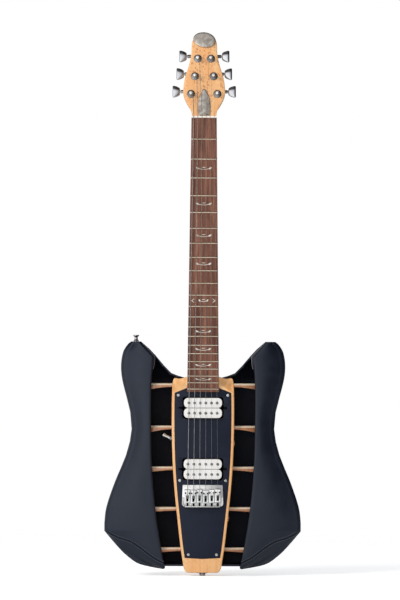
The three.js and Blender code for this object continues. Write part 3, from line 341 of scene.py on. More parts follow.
def new_group(name, inputs, outputs):
    """An empty shader group; inputs are (name, kind, value) and outputs are names of plain values."""
    group = bpy.data.node_groups.new(name, "ShaderNodeTree")
    for label, kind, value in inputs:
        socket = group.interface.new_socket(label, in_out="INPUT", socket_type=kind)
        if value is not None:
            socket.default_value = value
    for label in outputs:
        group.interface.new_socket(label, in_out="OUTPUT", socket_type="NodeSocketFloat")
    return group, group.nodes.new("NodeGroupInput").outputs, group.nodes.new("NodeGroupOutput")


def stretched(tree, vector, scale):
    """The coordinates scaled by a different amount along each axis."""
    return add(tree, "ShaderNodeMapping", {"Vector": vector, "Scale": scale}).outputs["Vector"]


def noise(tree, vector, scale, detail=4.0, distortion=0.0):
    """Cloudy noise between 0 and 1."""
    return add(tree, "ShaderNodeTexNoise", {"Vector": vector, "Scale": scale, "Detail": detail,
                                            "Distortion": distortion}).outputs["Fac"]


def between(tree, value, low, high, to_low=0.0, to_high=1.0):
    """The value carried from one range to another, and kept inside it."""
    return add(tree, "ShaderNodeMapRange", {"Value": value, "From Min": low, "From Max": high,
                                            "To Min": to_low, "To Max": to_high}).outputs["Result"]


def maths(tree, operation, first, second):
    """One sum of two values."""
    return add(tree, "ShaderNodeMath", {0: first, 1: second}, operation=operation).outputs[0]


def blended(tree, share, first, second):
    """A colour between two, by share."""
    node = add(tree, "ShaderNodeMix", {0: share, 6: first, 7: second}, data_type="RGBA")
    return node.outputs[2]


# %% [markdown]
# ## Grain and handling marks
#
# Figured maple shows broad bands, fine fibres along the beam, and small eyes where the growth swirled. A picture
# of wood could be laid on, but it would stretch over round edges and repeat. Noise that is squeezed along the
# height fills the whole beam instead, so the front and the edges show the same figure. Handling marks are wide
# clouds and fine specks. Every metal and paint uses them, so both patterns are groups that are built once.

# %% Wood grain, one group for every wooden piece
def make_grain():
    """Grain along Z: broad cloudy bands, fine fibres, and scattered eyes where the growth swirled.
    Bands and fibres are noise whose coordinates are squeezed along Z; an eye is the middle of a cell in a
    pattern of small cells. The headstock has the most of them, so their share grows with the height."""
    band_scale, fibre_scale, eye_scale, cluster_scale = 75, 620, 240, 70
    tree, given, result = new_group("wood grain", [
        ("Vector", "NodeSocketVector", None), ("Scale", "NodeSocketFloat", 1.0)],
        ["Bands", "Fibres", "Eyes"])
    sized = add(tree, "ShaderNodeVectorMath", {0: given["Vector"], 3: given["Scale"]}, operation="SCALE").outputs[0]
    bands = noise(tree, stretched(tree, sized, (1, 1, 0.07)), band_scale, 4, 0.6)
    fibres = noise(tree, stretched(tree, sized, (1, 1, 0.035)), fibre_scale, 5)
    cells = add(tree, "ShaderNodeTexVoronoi", {"Vector": stretched(tree, sized, (1, 1, 0.75)), "Scale": eye_scale})
    lone = between(tree, noise(tree, sized, cluster_scale, 2), 0.36, 0.5)
    spot = between(tree, cells.outputs["Distance"], 0.15, 0.45, 1, 0)
    height = add(tree, "ShaderNodeSeparateXYZ", {"Vector": sized}).outputs["Z"]
    lone = maths(tree, "MULTIPLY", lone, between(tree, height, -0.1, 0.02, 0.3, 1))
    tree.links.new(between(tree, bands, 0.3, 0.7), result.inputs["Bands"])
    tree.links.new(between(tree, fibres, 0.3, 0.7), result.inputs["Fibres"])
    tree.links.new(maths(tree, "MULTIPLY", spot, lone), result.inputs["Eyes"])
    return tree


def make_smudge():
    """Handling marks: broad clouds where fingers dulled a surface, and fine specks of dust."""
    cloud_scale, speck_scale = 38, 900
    tree, given, result = new_group("smudge", [("Vector", "NodeSocketVector", None)], ["Clouds", "Specks"])
    clouds = noise(tree, given["Vector"], cloud_scale, 3, 0.4)
    specks = noise(tree, given["Vector"], speck_scale, 2)
    tree.links.new(between(tree, clouds, 0.35, 0.7), result.inputs["Clouds"])
    tree.links.new(between(tree, specks, 0.3, 0.7), result.inputs["Specks"])
    return tree


grain_group = make_grain()
smudge_group = make_smudge()
print("groups:", grain_group.name, smudge_group.name)


# %% [markdown]
# ## A finish from a few words
#
# Wood, metal and paint differ in which sockets of the shader their patterns feed. One function for each keeps
# that wiring in one place, and a finish is then a name, two or three colours and a few numbers.

# %% A finish from a few words
def new_material(name):
    """An empty material with its shader, its tree and its Object coordinates."""
    material = bpy.data.materials.new(name)
    material.use_nodes = True
    tree = material.node_tree
    shader = tree.nodes["Principled BSDF"]
    return material, tree, shader, add(tree, "ShaderNodeTexCoord").outputs["Object"]


def bumped(tree, shader, height, strength, depth):
    """Feeds a height to the shader's normal."""
    bump = add(tree, "ShaderNodeBump", {"Strength": strength, "Distance": depth * mm, "Height": height})
    tree.links.new(bump.outputs["Normal"], shader.inputs["Normal"])


def plain(shader, **values):
    """Sets sockets whose value is the same all over the surface."""
    for name, value in values.items():
        shader.inputs[name.replace("_", " ")].default_value = value


def wood(name, pale, deep, eye, eye_share, roughness, coat, scale=1.0, fibre=0.4, shine=0.5):
    """Lacquered or oiled wood: pale and deep bands, darker fibres, and eyes of their own colour."""
    material, tree, shader, place = new_material(name)
    grain = add(tree, "ShaderNodeGroup", {"Vector": place, "Scale": scale}, node_tree=grain_group)
    body = blended(tree, grain.outputs["Bands"], pale, deep)
    fibre_share = maths(tree, "MULTIPLY", grain.outputs["Fibres"], fibre)
    lined = blended(tree, fibre_share, body, deep)
    eyes = maths(tree, "MULTIPLY", grain.outputs["Eyes"], eye_share)
    tree.links.new(blended(tree, eyes, lined, eye), shader.inputs["Base Color"])
    rough = between(tree, grain.outputs["Fibres"], 0, 1, roughness - 0.06, roughness + 0.08)
    tree.links.new(rough, shader.inputs["Roughness"])
    bumped(tree, shader, grain.outputs["Fibres"], 0.12, 0.08)
    plain(shader, Coat_Weight=coat, Coat_Roughness=0.12, Specular_IOR_Level=shine)
    return material


def metal(name, clean, dull, roughness, smudged, bump=0.0, stretch=(1, 1, 1)):
    """Metal that is clean or dulled by clouds of handling, which also roughen it."""
    material, tree, shader, place = new_material(name)
    smudge = add(tree, "ShaderNodeGroup", {"Vector": stretched(tree, place, stretch)}, node_tree=smudge_group)
    tree.links.new(blended(tree, smudge.outputs["Clouds"], clean, dull), shader.inputs["Base Color"])
    rough = between(tree, smudge.outputs["Clouds"], 0, 1, roughness, roughness + smudged)
    tree.links.new(rough, shader.inputs["Roughness"])
    if bump:
        bumped(tree, shader, smudge.outputs["Specks"], bump, 0.05)
    plain(shader, Metallic=1.0)
    return material


def coloured(name, colour, faded, roughness, bump, depth, coat=0.0, shine=0.5, tint=(1, 1, 1, 1)):
    """Paint, lacquer or moulded plastic: a colour that fades a little in clouds, over fine texture."""
    material, tree, shader, place = new_material(name)
    smudge = add(tree, "ShaderNodeGroup", {"Vector": place}, node_tree=smudge_group)
    tree.links.new(blended(tree, smudge.outputs["Clouds"], colour, faded), shader.inputs["Base Color"])
    rough = between(tree, smudge.outputs["Clouds"], 0, 1, roughness - 0.04, roughness + 0.06)
    tree.links.new(rough, shader.inputs["Roughness"])
    bumped(tree, shader, smudge.outputs["Specks"], bump, depth)
    plain(shader, Coat_Weight=coat, Coat_Roughness=0.2, Specular_IOR_Level=shine, Specular_Tint=tint)
    return material


# %% [markdown]
# ## The guitar's finishes
#
# The beam is pale maple under clear lacquer. The ribs are maple painted darker as shade, with a painted highlight
# in pale along their top layer. The board is rosewood without lacquer, so it is rougher and its fibres are
# stronger. Each colour is written as the eye sees it, and the lamps stay at a level that shows it so. The black
# lacquer has a slightly blue sheen.

# %% Woods
figured_maple = wood("birdseye maple", srgb(254, 206, 146), srgb(246, 176, 110), srgb(196, 116, 60),
                     eye_share=0.85, roughness=0.34, coat=0.6)
# The ribs' maple is darker than the beam's: painted shade.
shaded_rib_maple = wood("rib maple painted shade", srgb(200, 138, 86), srgb(150, 92, 54), srgb(110, 64, 36),
                 eye_share=0.2, roughness=0.26, coat=1.0)
# The pale top layer of each rib is a painted highlight.
top_highlight_pale = wood("rib top painted highlight", srgb(246, 230, 208), srgb(224, 200, 170), srgb(180, 140, 100),
                eye_share=0.1, roughness=0.3, coat=0.8)
rosewood = wood("rosewood", srgb(180, 124, 100), srgb(88, 56, 46), srgb(70, 42, 34),
                eye_share=0.25, roughness=0.55, coat=0.0, scale=1.7, fibre=0.85, shine=0.25)
wheel_wood = wood("wheel maple", srgb(226, 178, 122), srgb(190, 136, 84), srgb(140, 90, 52),
                  eye_share=0.2, roughness=0.45, coat=0.1, scale=2.0)

# %% Paint, plastic and bone
cool_tint = (0.78, 0.86, 1, 1)
shell_black = coloured("shell lacquer", srgb(18, 22, 33), srgb(23, 27, 39),
                       roughness=0.38, bump=0.14, depth=0.06, tint=cool_tint)
# A darker, rougher black for the inside of the bowl: painted shade.
shaded_inside_black = coloured("shell inside painted shade", srgb(10, 13, 22), srgb(15, 18, 28),
                        roughness=0.6, bump=0.2, depth=0.08, shine=0.12)
plate_black = coloured("plate lacquer", srgb(27, 31, 44), srgb(31, 35, 49),
                       roughness=0.4, bump=0.06, depth=0.03, shine=0.22, tint=cool_tint)
# Near black: the own colour of the welt and the pickup bases, and painted shade in the wells and the bridge's
# openings.
black_and_painted_shade = coloured("black and painted shade", srgb(8, 8, 10), srgb(12, 12, 14),
                      roughness=0.8, bump=0.3, depth=0.1, shine=0.05)
coil_white = coloured("coil plastic", srgb(252, 249, 245), srgb(246, 242, 236),
                      roughness=0.34, bump=0.05, depth=0.03, coat=0.1)
nut_white = coloured("bone", srgb(255, 248, 236), srgb(250, 238, 222), roughness=0.4, bump=0.08, depth=0.04)

# %% Metals
chrome = metal("chrome", srgb(200, 202, 207), srgb(186, 188, 193), roughness=0.12, smudged=0.1)
satin_chrome = metal("satin chrome", srgb(253, 253, 252), srgb(240, 241, 240),
                     roughness=0.36, smudged=0.1, bump=0.1)
# A darker copy of chrome for the sleeves and washers: painted shade.
shaded_chrome = metal("shaded chrome", srgb(172, 172, 172), srgb(134, 136, 138), roughness=0.45, smudged=0.12)
pewter = metal("pewter", srgb(224, 216, 206), srgb(190, 182, 173),
               roughness=0.42, smudged=0.2, bump=0.35, stretch=(3, 3, 3))
fret_nickel = metal("fret nickel", srgb(232, 216, 194), srgb(208, 190, 166), roughness=0.26, smudged=0.12)
screw_steel = metal("screw steel", srgb(150, 148, 142), srgb(108, 106, 101), roughness=0.3, smudged=0.2)
string_steel = metal("string steel", srgb(190, 189, 186), srgb(160, 159, 156),
                     roughness=0.4, smudged=0.12, bump=0.6, stretch=(1, 1, 4))

# %% Pearl, bead, thread and blackened screws
pearl = coloured("pearl", srgb(236, 232, 218), srgb(176, 178, 166),
                 roughness=0.24, bump=0.05, depth=0.02, coat=0.5)
# A light grey for the horn's bead: a painted highlight along the edge.
highlight_edge_grey = coloured("edge painted highlight", srgb(120, 123, 130), srgb(96, 99, 106), roughness=0.4, bump=0.1, depth=0.05)
thread_black = coloured("waxed thread", srgb(84, 88, 98), srgb(66, 70, 82), roughness=0.45, bump=0.3, depth=0.08)
# Blackened steel for the small screws; on the length screws it also keeps the notch behind each saddle dark, painted
# shade.
blackened_and_shade_black = coloured("blackened steel and painted shade", srgb(16, 16, 18), srgb(24, 24, 26),
                      roughness=0.5, bump=0.05, depth=0.02, shine=0.15)
print("finishes:", len(bpy.data.materials))

# %% [markdown]
# ## The two front shells
#
# Each wing is a thin lacquered shell, like a slice of a mask: its face slopes gently back from the opening
# beside the spine, rolls over at the edge of the body, and ends at a seam half way through the depth. One row
# of the grid is a closed path at one height: along the outside from the opening to the seam, then back along
# the inside, 3 mm deeper. Below a stitched seam the tip falls back as a facet of its own. A subdivided box could
# not keep the outline this true, and a sculpted one would not repeat.

# %% The body's outline
body_top, body_length, body_half = -384.945, 391.5, 169.3
side_shares = [
    (0, 0.735), (0.012, 0.768), (0.045, 0.814), (0.105, 0.836), (0.17, 0.822), (0.31, 0.741),
    (0.385, 0.726), (0.486, 0.771), (0.627, 0.902), (0.73, 0.98), (0.8, 1), (0.834, 1),
]
tail_shares = [(0.834, 1), (0.909, 0.85), (0.945, 0.763), (0.98, 0.638), (1, 0.44)]
horn_edge_shares = [(0, 0.652), (0.066, 0.508)]
wing_edge_shares = [
    (0.066, 0.508), (0.2, 0.5275), (0.39, 0.5275), (0.53, 0.52), (0.67, 0.497), (0.8, 0.461), (0.94, 0.406),
    (1, 0.375),
]
wall, shell_front, seam_y, body_back = 3, 2, 19, 46
front_round, round_share, face_slope = 8, 0.45, 8
wing_lip, wing_crown = 2.2, 2.4


def station(share):
    """Height of a share of the body's length, from its top."""
    return body_top - np.asarray(share) * body_length


def share_at(z):
    """Share of the body's length at a height."""
    return (body_top - np.asarray(z, float)) / body_length


def side_half(z):
    """Half the body's width: the long waisted curve, and below it the curve of the tail, never past the widest."""
    share = share_at(z)
    bend = side_shares[-1][0]
    waist, tail = smooth_curve(side_shares, share), smooth_curve(tail_shares, share)
    return body_half * np.minimum(np.where(share < bend, waist, tail), 1)


def side_stretch(z):
    """How much wider a slanted wall is when it is cut level: the length of (1, slope)."""
    return np.hypot(1, (side_half(z + 1) - side_half(z - 1)) / 2)


def wing_edge(z):
    """Distance of the wing's opening from the centreline: a straight diagonal at the horn, then the curve."""
    share = share_at(z)
    bend = wing_edge_shares[0][0]
    return body_half * np.where(share < bend, smooth_curve(horn_edge_shares, share),
                                smooth_curve(wing_edge_shares, share))


print("widest:", 2 * body_half, "mm, wing opening at the waist:", round(float(wing_edge(station(0.385))), 1), "mm")


# %% Seam, facet and tip
seam_points = [(60, -769.0), (84, -756.7), (107, -739.8), (124, -729.2), (145.5, -722.2), (169, -710.5)]
facet_slope, facet_softness, tip_radius = 0.4, 1.6, 4


def seam_z(x):
    """Height of the seam that crosses the wing above its tip."""
    return smooth_curve(seam_points, x)


def facet_drop(x, z):
    """How far the tip falls back: the slope times the distance below the seam, with the crease rounded."""
    below = seam_z(x) - z
    return facet_slope * (below + np.sqrt(below ** 2 + facet_softness ** 2)) / 2


def smooth_step(value):
    """Zero, then an S-shaped rise to one."""
    share = np.clip(value, 0, 1)
    return share ** 2 * (3 - 2 * share)


def tip_trim(z):
    """How much the tip's two corners are rounded: a circle's gap over the last few millimetres."""
    rise = np.clip(1 - (z - station(1)) / tip_radius, 0, 1)
    return tip_radius * (1 - np.sqrt(1 - rise ** 2))


# %% One wing
def wing_path(z, outer, inner, front, lip):
    """One level path over the wing's skin: round the lip of the opening, up the sloping face, over the edge.
    The face is crowned by a sine so that light rolls across it."""
    edge = np.minimum(front_round * side_stretch(z), round_share * (outer - inner))[:, None]
    outer, inner = outer[:, None], inner[:, None]
    turn = quarter(4)[None, :]
    lip_x = inner + lip * (1 - np.cos(turn))
    lip_y = front + lip * (1 - np.sin(turn))
    across = np.linspace(0, 1, 16)[None, 1:-1]
    face_x = mix(inner + lip, outer - edge, across)
    face_y = front + face_slope * across - wing_crown * np.sin(math.pi * across)
    over = quarter(9)[None, :]
    edge_x = outer - edge * (1 - np.sin(over))
    edge_y = front + face_slope + front_round * (1 - np.cos(over)) + 0 * edge
    x = np.concatenate([lip_x, face_x, edge_x], 1)
    y = np.concatenate([lip_y + 0 * inner, face_y + 0 * inner, edge_y], 1)
    return x, y


seam_gap, inner_lip, least_inside = 0.5, 0.2, 2
hollow_start_shares = (0.007625, 0.0078)


def wing_rings(rows):
    """Closed paths, outside then inside. Where the wing is solid the inside lies flat on the seam."""
    z = station(rows)
    outer, inner = side_half(z) - tip_trim(z), wing_edge(z) + tip_trim(z)
    x, y = wing_path(z, outer, inner, shell_front, wing_lip)
    y = np.minimum(y + facet_drop(x, z[:, None]), seam_y - seam_gap)
    x, y = np.concatenate([x, outer[:, None]], 1), np.concatenate([y, np.full((len(z), 1), seam_y)], 1)
    inside = outer - wall * side_stretch(z)
    hollow = (inside - inner > 2 * wall) & (z < body_top - wall)
    inside = np.maximum(inside, inner + least_inside)
    back_x, back_y = wing_path(z, inside, inner, shell_front + wall, inner_lip)
    back_y = np.where(hollow[:, None], back_y + facet_drop(back_x, z[:, None]), seam_y)
    back_y = np.minimum(back_y, seam_y)
    back_x = np.concatenate([back_x, back_x[:, -1:]], 1)[:, ::-1]
    back_y = np.concatenate([back_y, np.full((len(z), 1), seam_y)], 1)[:, ::-1]
    x, y = np.concatenate([x, back_x], 1), np.concatenate([y, back_y], 1)
    return np.stack([x, y, np.repeat(z[:, None], x.shape[1], 1)], 2)


wing_rows = np.unique(np.concatenate([
    np.linspace(0, 1, 150), np.linspace(0, 0.07, 26), np.linspace(0.97, 1, 16), np.linspace(0.99, 1, 12),
    [*hollow_start_shares, wing_edge_shares[0][0], tail_shares[0][0]]]))
wing_solid = [closed(wing_rings(wing_rows))]
pair("shell", wing_solid, shell_black, "{}_wing", sharp_angle=50)
print("wing points:", len(wing_solid[0][0]))


# %% [markdown]
# ## The horns' inner edge
#
# At each horn the shell's edge turns inwards beside the neck, as a thin strip with a bead along it; the bead is
# light grey, a painted highlight. It could be pulled out of the shell's own grid, but that would add columns to
# every level for a strip that only a few of them need. So the strip is a closed section carried down the edge,
# and it shrinks away at its foot.

# %% The horn's return edge
return_end_share, return_fade = 0.15, 22
return_section = [(1.6, 4.2), (0.3, 3.4), (-1.2, 5.4), (-2.9, 9.4), (-2.4, 10.4), (-0.6, 6.6)]
bead_set, bead_depth, bead_radius = 2.7, 9.9, 0.75


def return_share(z):
    """How much of the strip's full reach is left at a height: it fades out over its last 22 mm."""
    return smooth_step((z - station(return_end_share)) / return_fade)


def return_rings():
    """The opening's edge turned inwards: a strip one millimetre thick from the lip back towards the centre."""
    z = station(np.linspace(0.004, return_end_share, 40))
    rings = [np.stack([wing_edge(z) + (x if x > 0 else x * return_share(z)), np.full_like(z, y), z], 1)
             for x, y in return_section]
    return np.stack(rings, 1)


def return_bead():
    """A bead along the strip's far edge, light grey as a painted highlight."""
    z = station(np.linspace(0.006, 0.12, 40))
    path = np.stack([wing_edge(z) - bead_set * return_share(z), np.full_like(z, bead_depth), z], 1)
    return tube(path, bead_radius, (0, 1, 0), 8)


right_return = [closed(return_rings())]
pair("horn_bead", [return_bead()], highlight_edge_grey)
pair("horn_return", right_return, shell_black)
print("return strip points:", len(right_return[0][0]))

# %% [markdown]
# ## The stitched seam
#
# Where the tip falls back, a welt covers the crease and a row of thread runs on each side of it. Bump in the
# material has no outline and no shadow of its own, so welt and stitches are geometry: a tube along the crease,
# and for each stitch a short tube whose ends dip towards the lacquer.

# %% Stitched seam along the crease
seam_start, seam_end = 65.5, 166
welt_radius, welt_sink = 0.6, 0.3
stitch_pitch, stitch_length, stitch_offset, stitch_radius = 4.2, 2.6, 2.3, 0.42
stitch_sink = [0.35, 0.05, 0, 0.05, 0.35]
first_stitch, last_gap = 2, 7


def wing_surface(x, z):
    """Depth of the wing's untrimmed face: the crowned slope, then the quarter circle over the edge."""
    outer, inner = side_half(z), wing_edge(z)
    edge = np.minimum(front_round * side_stretch(z), round_share * (outer - inner))
    across = np.clip((x - inner - wing_lip) / (outer - edge - inner - wing_lip), 0, 1)
    slope = shell_front + face_slope * across - wing_crown * np.sin(math.pi * across)
    sine = np.clip(1 - (outer - x) / edge, 0, 1)
    return slope + np.where(x > outer - edge, front_round * (1 - np.sqrt(1 - sine ** 2)), 0)


def seam_solids():
    """A welt along the crease, and a row of short stitches on each side of it, laid on the two faces."""
    x = np.linspace(seam_start, seam_end, 120)
    line = np.stack([x, seam_z(x)], 1)
    depth = wing_surface(*line.T) + facet_drop(*line.T) + welt_sink
    path = np.stack([line[:, 0], depth, line[:, 1]], 1)
    welt, stitches = [tube(path, welt_radius, (0, 1, 0), 8)], []
    run = np.concatenate([[0], np.cumsum(np.linalg.norm(np.diff(line, axis=0), axis=1))])
    for side in (-1, 1):
        for start in np.arange(first_stitch, run[-1] - last_gap, stitch_pitch):
            ends = np.array([[np.interp(start + step, run, line[:, axis]) for axis in (0, 1)]
                             for step in np.linspace(0, stitch_length, 5)])
            along = unit(ends[-1] - ends[0])
            ends = ends + side * stitch_offset * np.array([-along[1], along[0]])
            y = wing_surface(*ends.T) + facet_drop(*ends.T) + stitch_sink
            stitches.append(tube(np.stack([ends[:, 0], y, ends[:, 1]], 1), stitch_radius, (0, 1, 0), 6))
    return welt, stitches


welt, stitches = seam_solids()
pair("welt", welt, black_and_painted_shade)
pair("stitches", stitches, thread_black)
print("stitches on each wing:", len(stitches))


# %% [markdown]
# ## The bowl behind
#
# The back shell is one open bowl that the spine is let into. Its faces are already right, so it is a copy of
# the frame's own mesh: its loose triangles are merged, and then shaded smooth wherever they meet softly. The
# faces that look into the bowl take a darker black, which is painted shade.

# %% Copies of frame parts
def merged_copy(name, node, material, sharp_angle=32):
    """A piece that is a copy of a frame part's mesh, with its loose triangles merged and shaded smooth."""
    mesh = nodes[node].data.copy()
    mesh.name = name
    shape = bmesh.new()
    shape.from_mesh(mesh)
    bmesh.ops.remove_doubles(shape, verts=shape.verts, dist=copy_weld_distance)
    shape.to_mesh(mesh)
    shape.free()
    return finished(name, mesh, material, "root", [node], sharp_angle)


bowl = merged_copy("back_bowl", "back_shell", shell_black)
bowl.data.materials.append(shaded_inside_black)
# Faces that look into the bowl take the darker black: painted shade.
normals, centres = np.zeros(len(bowl.data.polygons) * 3), np.zeros(len(bowl.data.polygons) * 3)
bowl.data.polygons.foreach_get("normal", normals)
bowl.data.polygons.foreach_get("center", centres)
normals, centres = normals.reshape(-1, 3), centres.reshape(-1, 3)
facing_in = (normals[:, 0] * np.sign(centres[:, 0]) < -0.25) | (normals[:, 1] < -0.4) & (centres[:, 1] > 25 * mm)
bowl.data.polygons.foreach_set("material_index", facing_in.astype(np.int32))
print("bowl faces inside:", int(facing_in.sum()))

# %% [markdown]
# ## One beam of wood
#
# Headstock, neck, heel and spine are glued from one beam, so they are one piece here. The neck is a loft whose
# section is a D, rounded behind; towards the headstock and the heel that D becomes a rectangle with round
# corners. The spine is a slab with a soft front edge and a step let into it for the plate.

# %% The headstock's frame and the beam's sizes
head_tilt = math.radians(9)
nut_thickness = 3.6
head_length, head_half_width, head_thickness = 141, 36.1, 15
head_shares = [
    (0, 0.58), (0.045, 0.605), (0.105, 0.7), (0.167, 0.834), (0.234, 0.953), (0.3, 1), (0.386, 0.978),
    (0.484, 0.911), (0.57, 0.806), (0.667, 0.7), (0.777, 0.62), (0.903, 0.595), (0.97, 0.5), (1, 0.36),
]
board_end = -470.945
board_width_at_nut, board_width_at_end = 43.5, 54.8
neck_depth_at_nut, neck_depth_at_heel = 15, 17.5
neck_corner, head_corner, under_corner, heel_corner = 7, 1.8, 8, 5
head_blend_length, glue_edge, head_edge, head_edge_start, head_edge_run = 18, 0.3, 1.1, 14, 14
heel_top, shoulder_top, spine_top, spine_end = -401.945, -442.945, -457.945, -782.445
heel_depth = 42.7
window_top = -479.945


def in_head(points):
    """Points of the headstock's own frame, leant back by the tilt and lifted to the nut's far face."""
    x, y, z = np.moveaxis(np.asarray(points, float), -1, 0)
    cos, sin = math.cos(head_tilt), math.sin(head_tilt)
    return np.stack([x, y * cos + z * sin, nut_thickness - y * sin + z * cos], -1)


def placed_in_head(solids):
    """Solids carried from the headstock's frame into the guitar's."""
    return [(in_head(points), faces) for points, faces in solids]


# %% The beam's section
def board_half(z):
    """Half the fingerboard's width, which grows evenly from the nut to its end."""
    return mix(board_width_at_nut, board_width_at_end, np.asarray(z) / board_end) / 2


def beam_section(half, depth, square, corner, edge):
    """Points round one section: across the flat front, then along a path behind it that is a D, a rectangle
    with round corners, or something between them by the square share."""
    front = np.linspace(1, -1, 13)
    turn = quarter(3)
    front_x = np.concatenate([half - edge * (1 - np.sin(turn[:-1])), (half - edge) * front,
                              -half + edge * (1 - np.sin(turn[::-1][1:]))])
    front_x[:3] = half - edge * (1 - np.cos(turn[:-1]))
    front_x[-3:] = -front_x[:3][::-1]
    rim_y = edge * (1 - np.sin(turn[:-1]))
    front_y = np.concatenate([rim_y, np.zeros(13), rim_y[::-1]])
    angle = np.linspace(0, math.pi, 43)[1:-1]
    d_x, d_y = -half * np.cos(angle), depth * np.sin(angle) ** 0.9
    steps = quarter(8)
    side_y = np.linspace(edge, depth - corner, 8)[1:-1]
    bend_x = half - corner * (1 - np.cos(steps))
    bend_y = depth - corner * (1 - np.sin(steps))
    flat_x = np.linspace(half - corner, -(half - corner), 13)[1:-1]
    box_x = np.concatenate([np.full(6, half), bend_x, flat_x, -bend_x[::-1], np.full(6, -half)])
    box_y = np.concatenate([side_y, bend_y, np.full(11, depth), bend_y[::-1], side_y[::-1]])
    back_x, back_y = mix(d_x, -box_x, square), mix(d_y, box_y, square)
    return np.concatenate([front_x, back_x]), np.concatenate([front_y, back_y])


# %% Neck and headstock
def neck_rings():
    """Rings from the headstock's tip to inside the heel."""
    rings = []
    for z in np.unique(np.concatenate([np.linspace(0, head_length, 90), [head_length - 0.6]]))[::-1]:
        blend = min(z / head_blend_length, 1)
        half = head_half_width * float(smooth_curve(head_shares, z / head_length))
        edge = glue_edge + head_edge * smooth_step((z - head_edge_start) / head_edge_run)
        depth = mix(neck_depth_at_nut, head_thickness, blend)
        x, y = beam_section(half, depth, smooth_step(blend), mix(neck_corner, head_corner, blend), edge)
        rings.append(in_head(np.stack([x, y, np.full_like(x, z)], 1)))
    levels = np.concatenate([[0], np.linspace(-8, heel_top, 24), np.linspace(heel_top, shoulder_top, 26)[1:],
                             [shoulder_top - 6]])
    for z in levels:
        swell = float(smooth_step((heel_top - z) / (heel_top - shoulder_top)))
        depth = mix(mix(neck_depth_at_nut, neck_depth_at_heel, z / heel_top), heel_depth, swell)
        corner = mix(under_corner, heel_corner, swell)
        x, y = beam_section(float(board_half(z)), depth, swell, corner, glue_edge)
        rings.append(np.stack([x, y, np.full_like(x, z)], 1))
    return np.array(rings)


neck_solid = closed(neck_rings())
print("neck points:", len(neck_solid[0]))

# %% [markdown]
# ## The spine
#
# Below two scooped shoulders the beam swells into a broad slab, which narrows again to the tail. A step for the
# plate and a pocket for each pickup are cut into its front. Boolean cuts would leave slivers, so the flat front is
# filled with triangles between the outlines, and each cut is a wall that starts at its own outline.

# %% The spine's outlines
spine_half_width = 53.7
spine_shares = [(0, 0.985), (0.12, 1), (0.26, 0.996), (0.42, 0.965), (0.57, 0.9), (0.72, 0.805), (0.87, 0.7),
                (1, 0.575)]
shoulder_curve = [(0, 0, 0.17), (0.3, 0.23, 0.27), (0.58, 0.5, 0.38), (0.85, 0.76, 0.32), (0.96, 0.86, 0.32),
                  (1.08, 0.94, 0.5), (1.3, 0.98, 0.84), (1.42, 1, 1)]
shoulder_steps = 20
scoop_depth, scoop_reach, scoop_fade, scoop_ridge_top, scoop_side_points = 13, 15, 0.2, -457.9, 4
spine_corner, spine_edge, plate_seat, pocket_depth = 7, 1.8, 3.0, 20


def spine_half(z):
    """Half the spine's width at a height."""
    return spine_half_width * smooth_curve(spine_shares, (spine_top - np.asarray(z)) / (spine_top - spine_end))


def spine_side(extra, top):
    """The right edge from a height down, with a quarter circle at the foot."""
    z = np.linspace(top, spine_end + spine_corner, 70)
    side = np.stack([spine_half(z) + extra, z], 1)
    turn = quarter(8)[1:]
    foot_x = float(spine_half(spine_end)) - spine_corner * (1 - np.cos(turn)) + extra
    foot_z = spine_end + spine_corner - (spine_corner + extra) * np.sin(turn)
    return np.concatenate([side, np.stack([foot_x, foot_z], 1)])


def both_halves(right):
    """A right-hand outline from top to bottom, then its mirror image back up."""
    return np.concatenate([right, mirrored(right)])


def spine_outline(extra=0.0):
    """Shoulders that spread from the neck to the spine's full width, then the two long sides."""
    run, out, down = np.array(shoulder_curve).T
    along = np.linspace(0, run[-1], shoulder_steps)[:-1]
    share_out = smooth_curve(list(zip(run, out)), along)
    share_down = smooth_curve(list(zip(run, down)), along)
    neck_half = float(board_half(shoulder_top))
    x = mix(neck_half, float(spine_half(spine_top)), share_out) + extra
    z = mix(shoulder_top, spine_top, share_down) + extra
    return both_halves(np.concatenate([np.stack([x, z], 1), spine_side(extra, spine_top)]))


# %% Outline of the plate and its openings
plate_top, plate_shoulder, plate_end = -464.445, -472.945, -758.445
plate_inset, plate_corner_rise = 4.8, 1.8


def plate_outline(extra=0.0):
    """The plate stays 4.8 mm inside the spine's edge, and two short arms reach up beside the fingerboard."""
    notch = float(board_half(board_end)) + 0.3 - extra
    z = np.linspace(plate_shoulder, plate_end + plate_corner_rise, 60)
    side = np.stack([spine_half(z) - plate_inset + extra, z], 1)
    side[0, 1] += extra
    side[-1, 1] -= extra
    start = np.array([[notch, board_end - 0.3 + extra], [notch, plate_top + extra]])
    end = np.array([[0, plate_end - extra]])
    right = np.concatenate([start, side])
    return np.concatenate([right, end, mirrored(right)])


def eared_box(half_x, half_z, corner, ear_x, ear_z, centre_z):
    """A box with round corners and a round-ended slot that sticks out of the middle of each short side."""
    turn = quarter(7)
    bend = np.stack([half_x - corner * (1 - np.cos(turn)), half_z - corner * (1 - np.sin(turn))], 1)
    ear = np.stack([ear_x - ear_z * (1 - np.cos(turn)), ear_z * np.sin(turn)], 1)
    quarter_path = np.concatenate([ear, [[half_x, ear_z]], bend])
    upper = np.concatenate([quarter_path, (quarter_path * (-1, 1))[::-1][:-1]])
    lower = (upper * (1, -1))[::-1]
    return np.concatenate([upper, [[-ear_x, 0]], lower[:-1]]) + (0, centre_z)


pickup_heights = {"neck_pickup": -498.745, "bridge_pickup": -604.0}
pickup_half_x, pickup_half_z, pickup_room = 34.5, 18.0, 1.0
pickup_openings = {
    name: eared_box(pickup_half_x + pickup_room, pickup_half_z + pickup_room, 5.5, 41.5, 1.7, height)
    for name, height in pickup_heights.items()}
print("plate outline points:", len(plate_outline()))


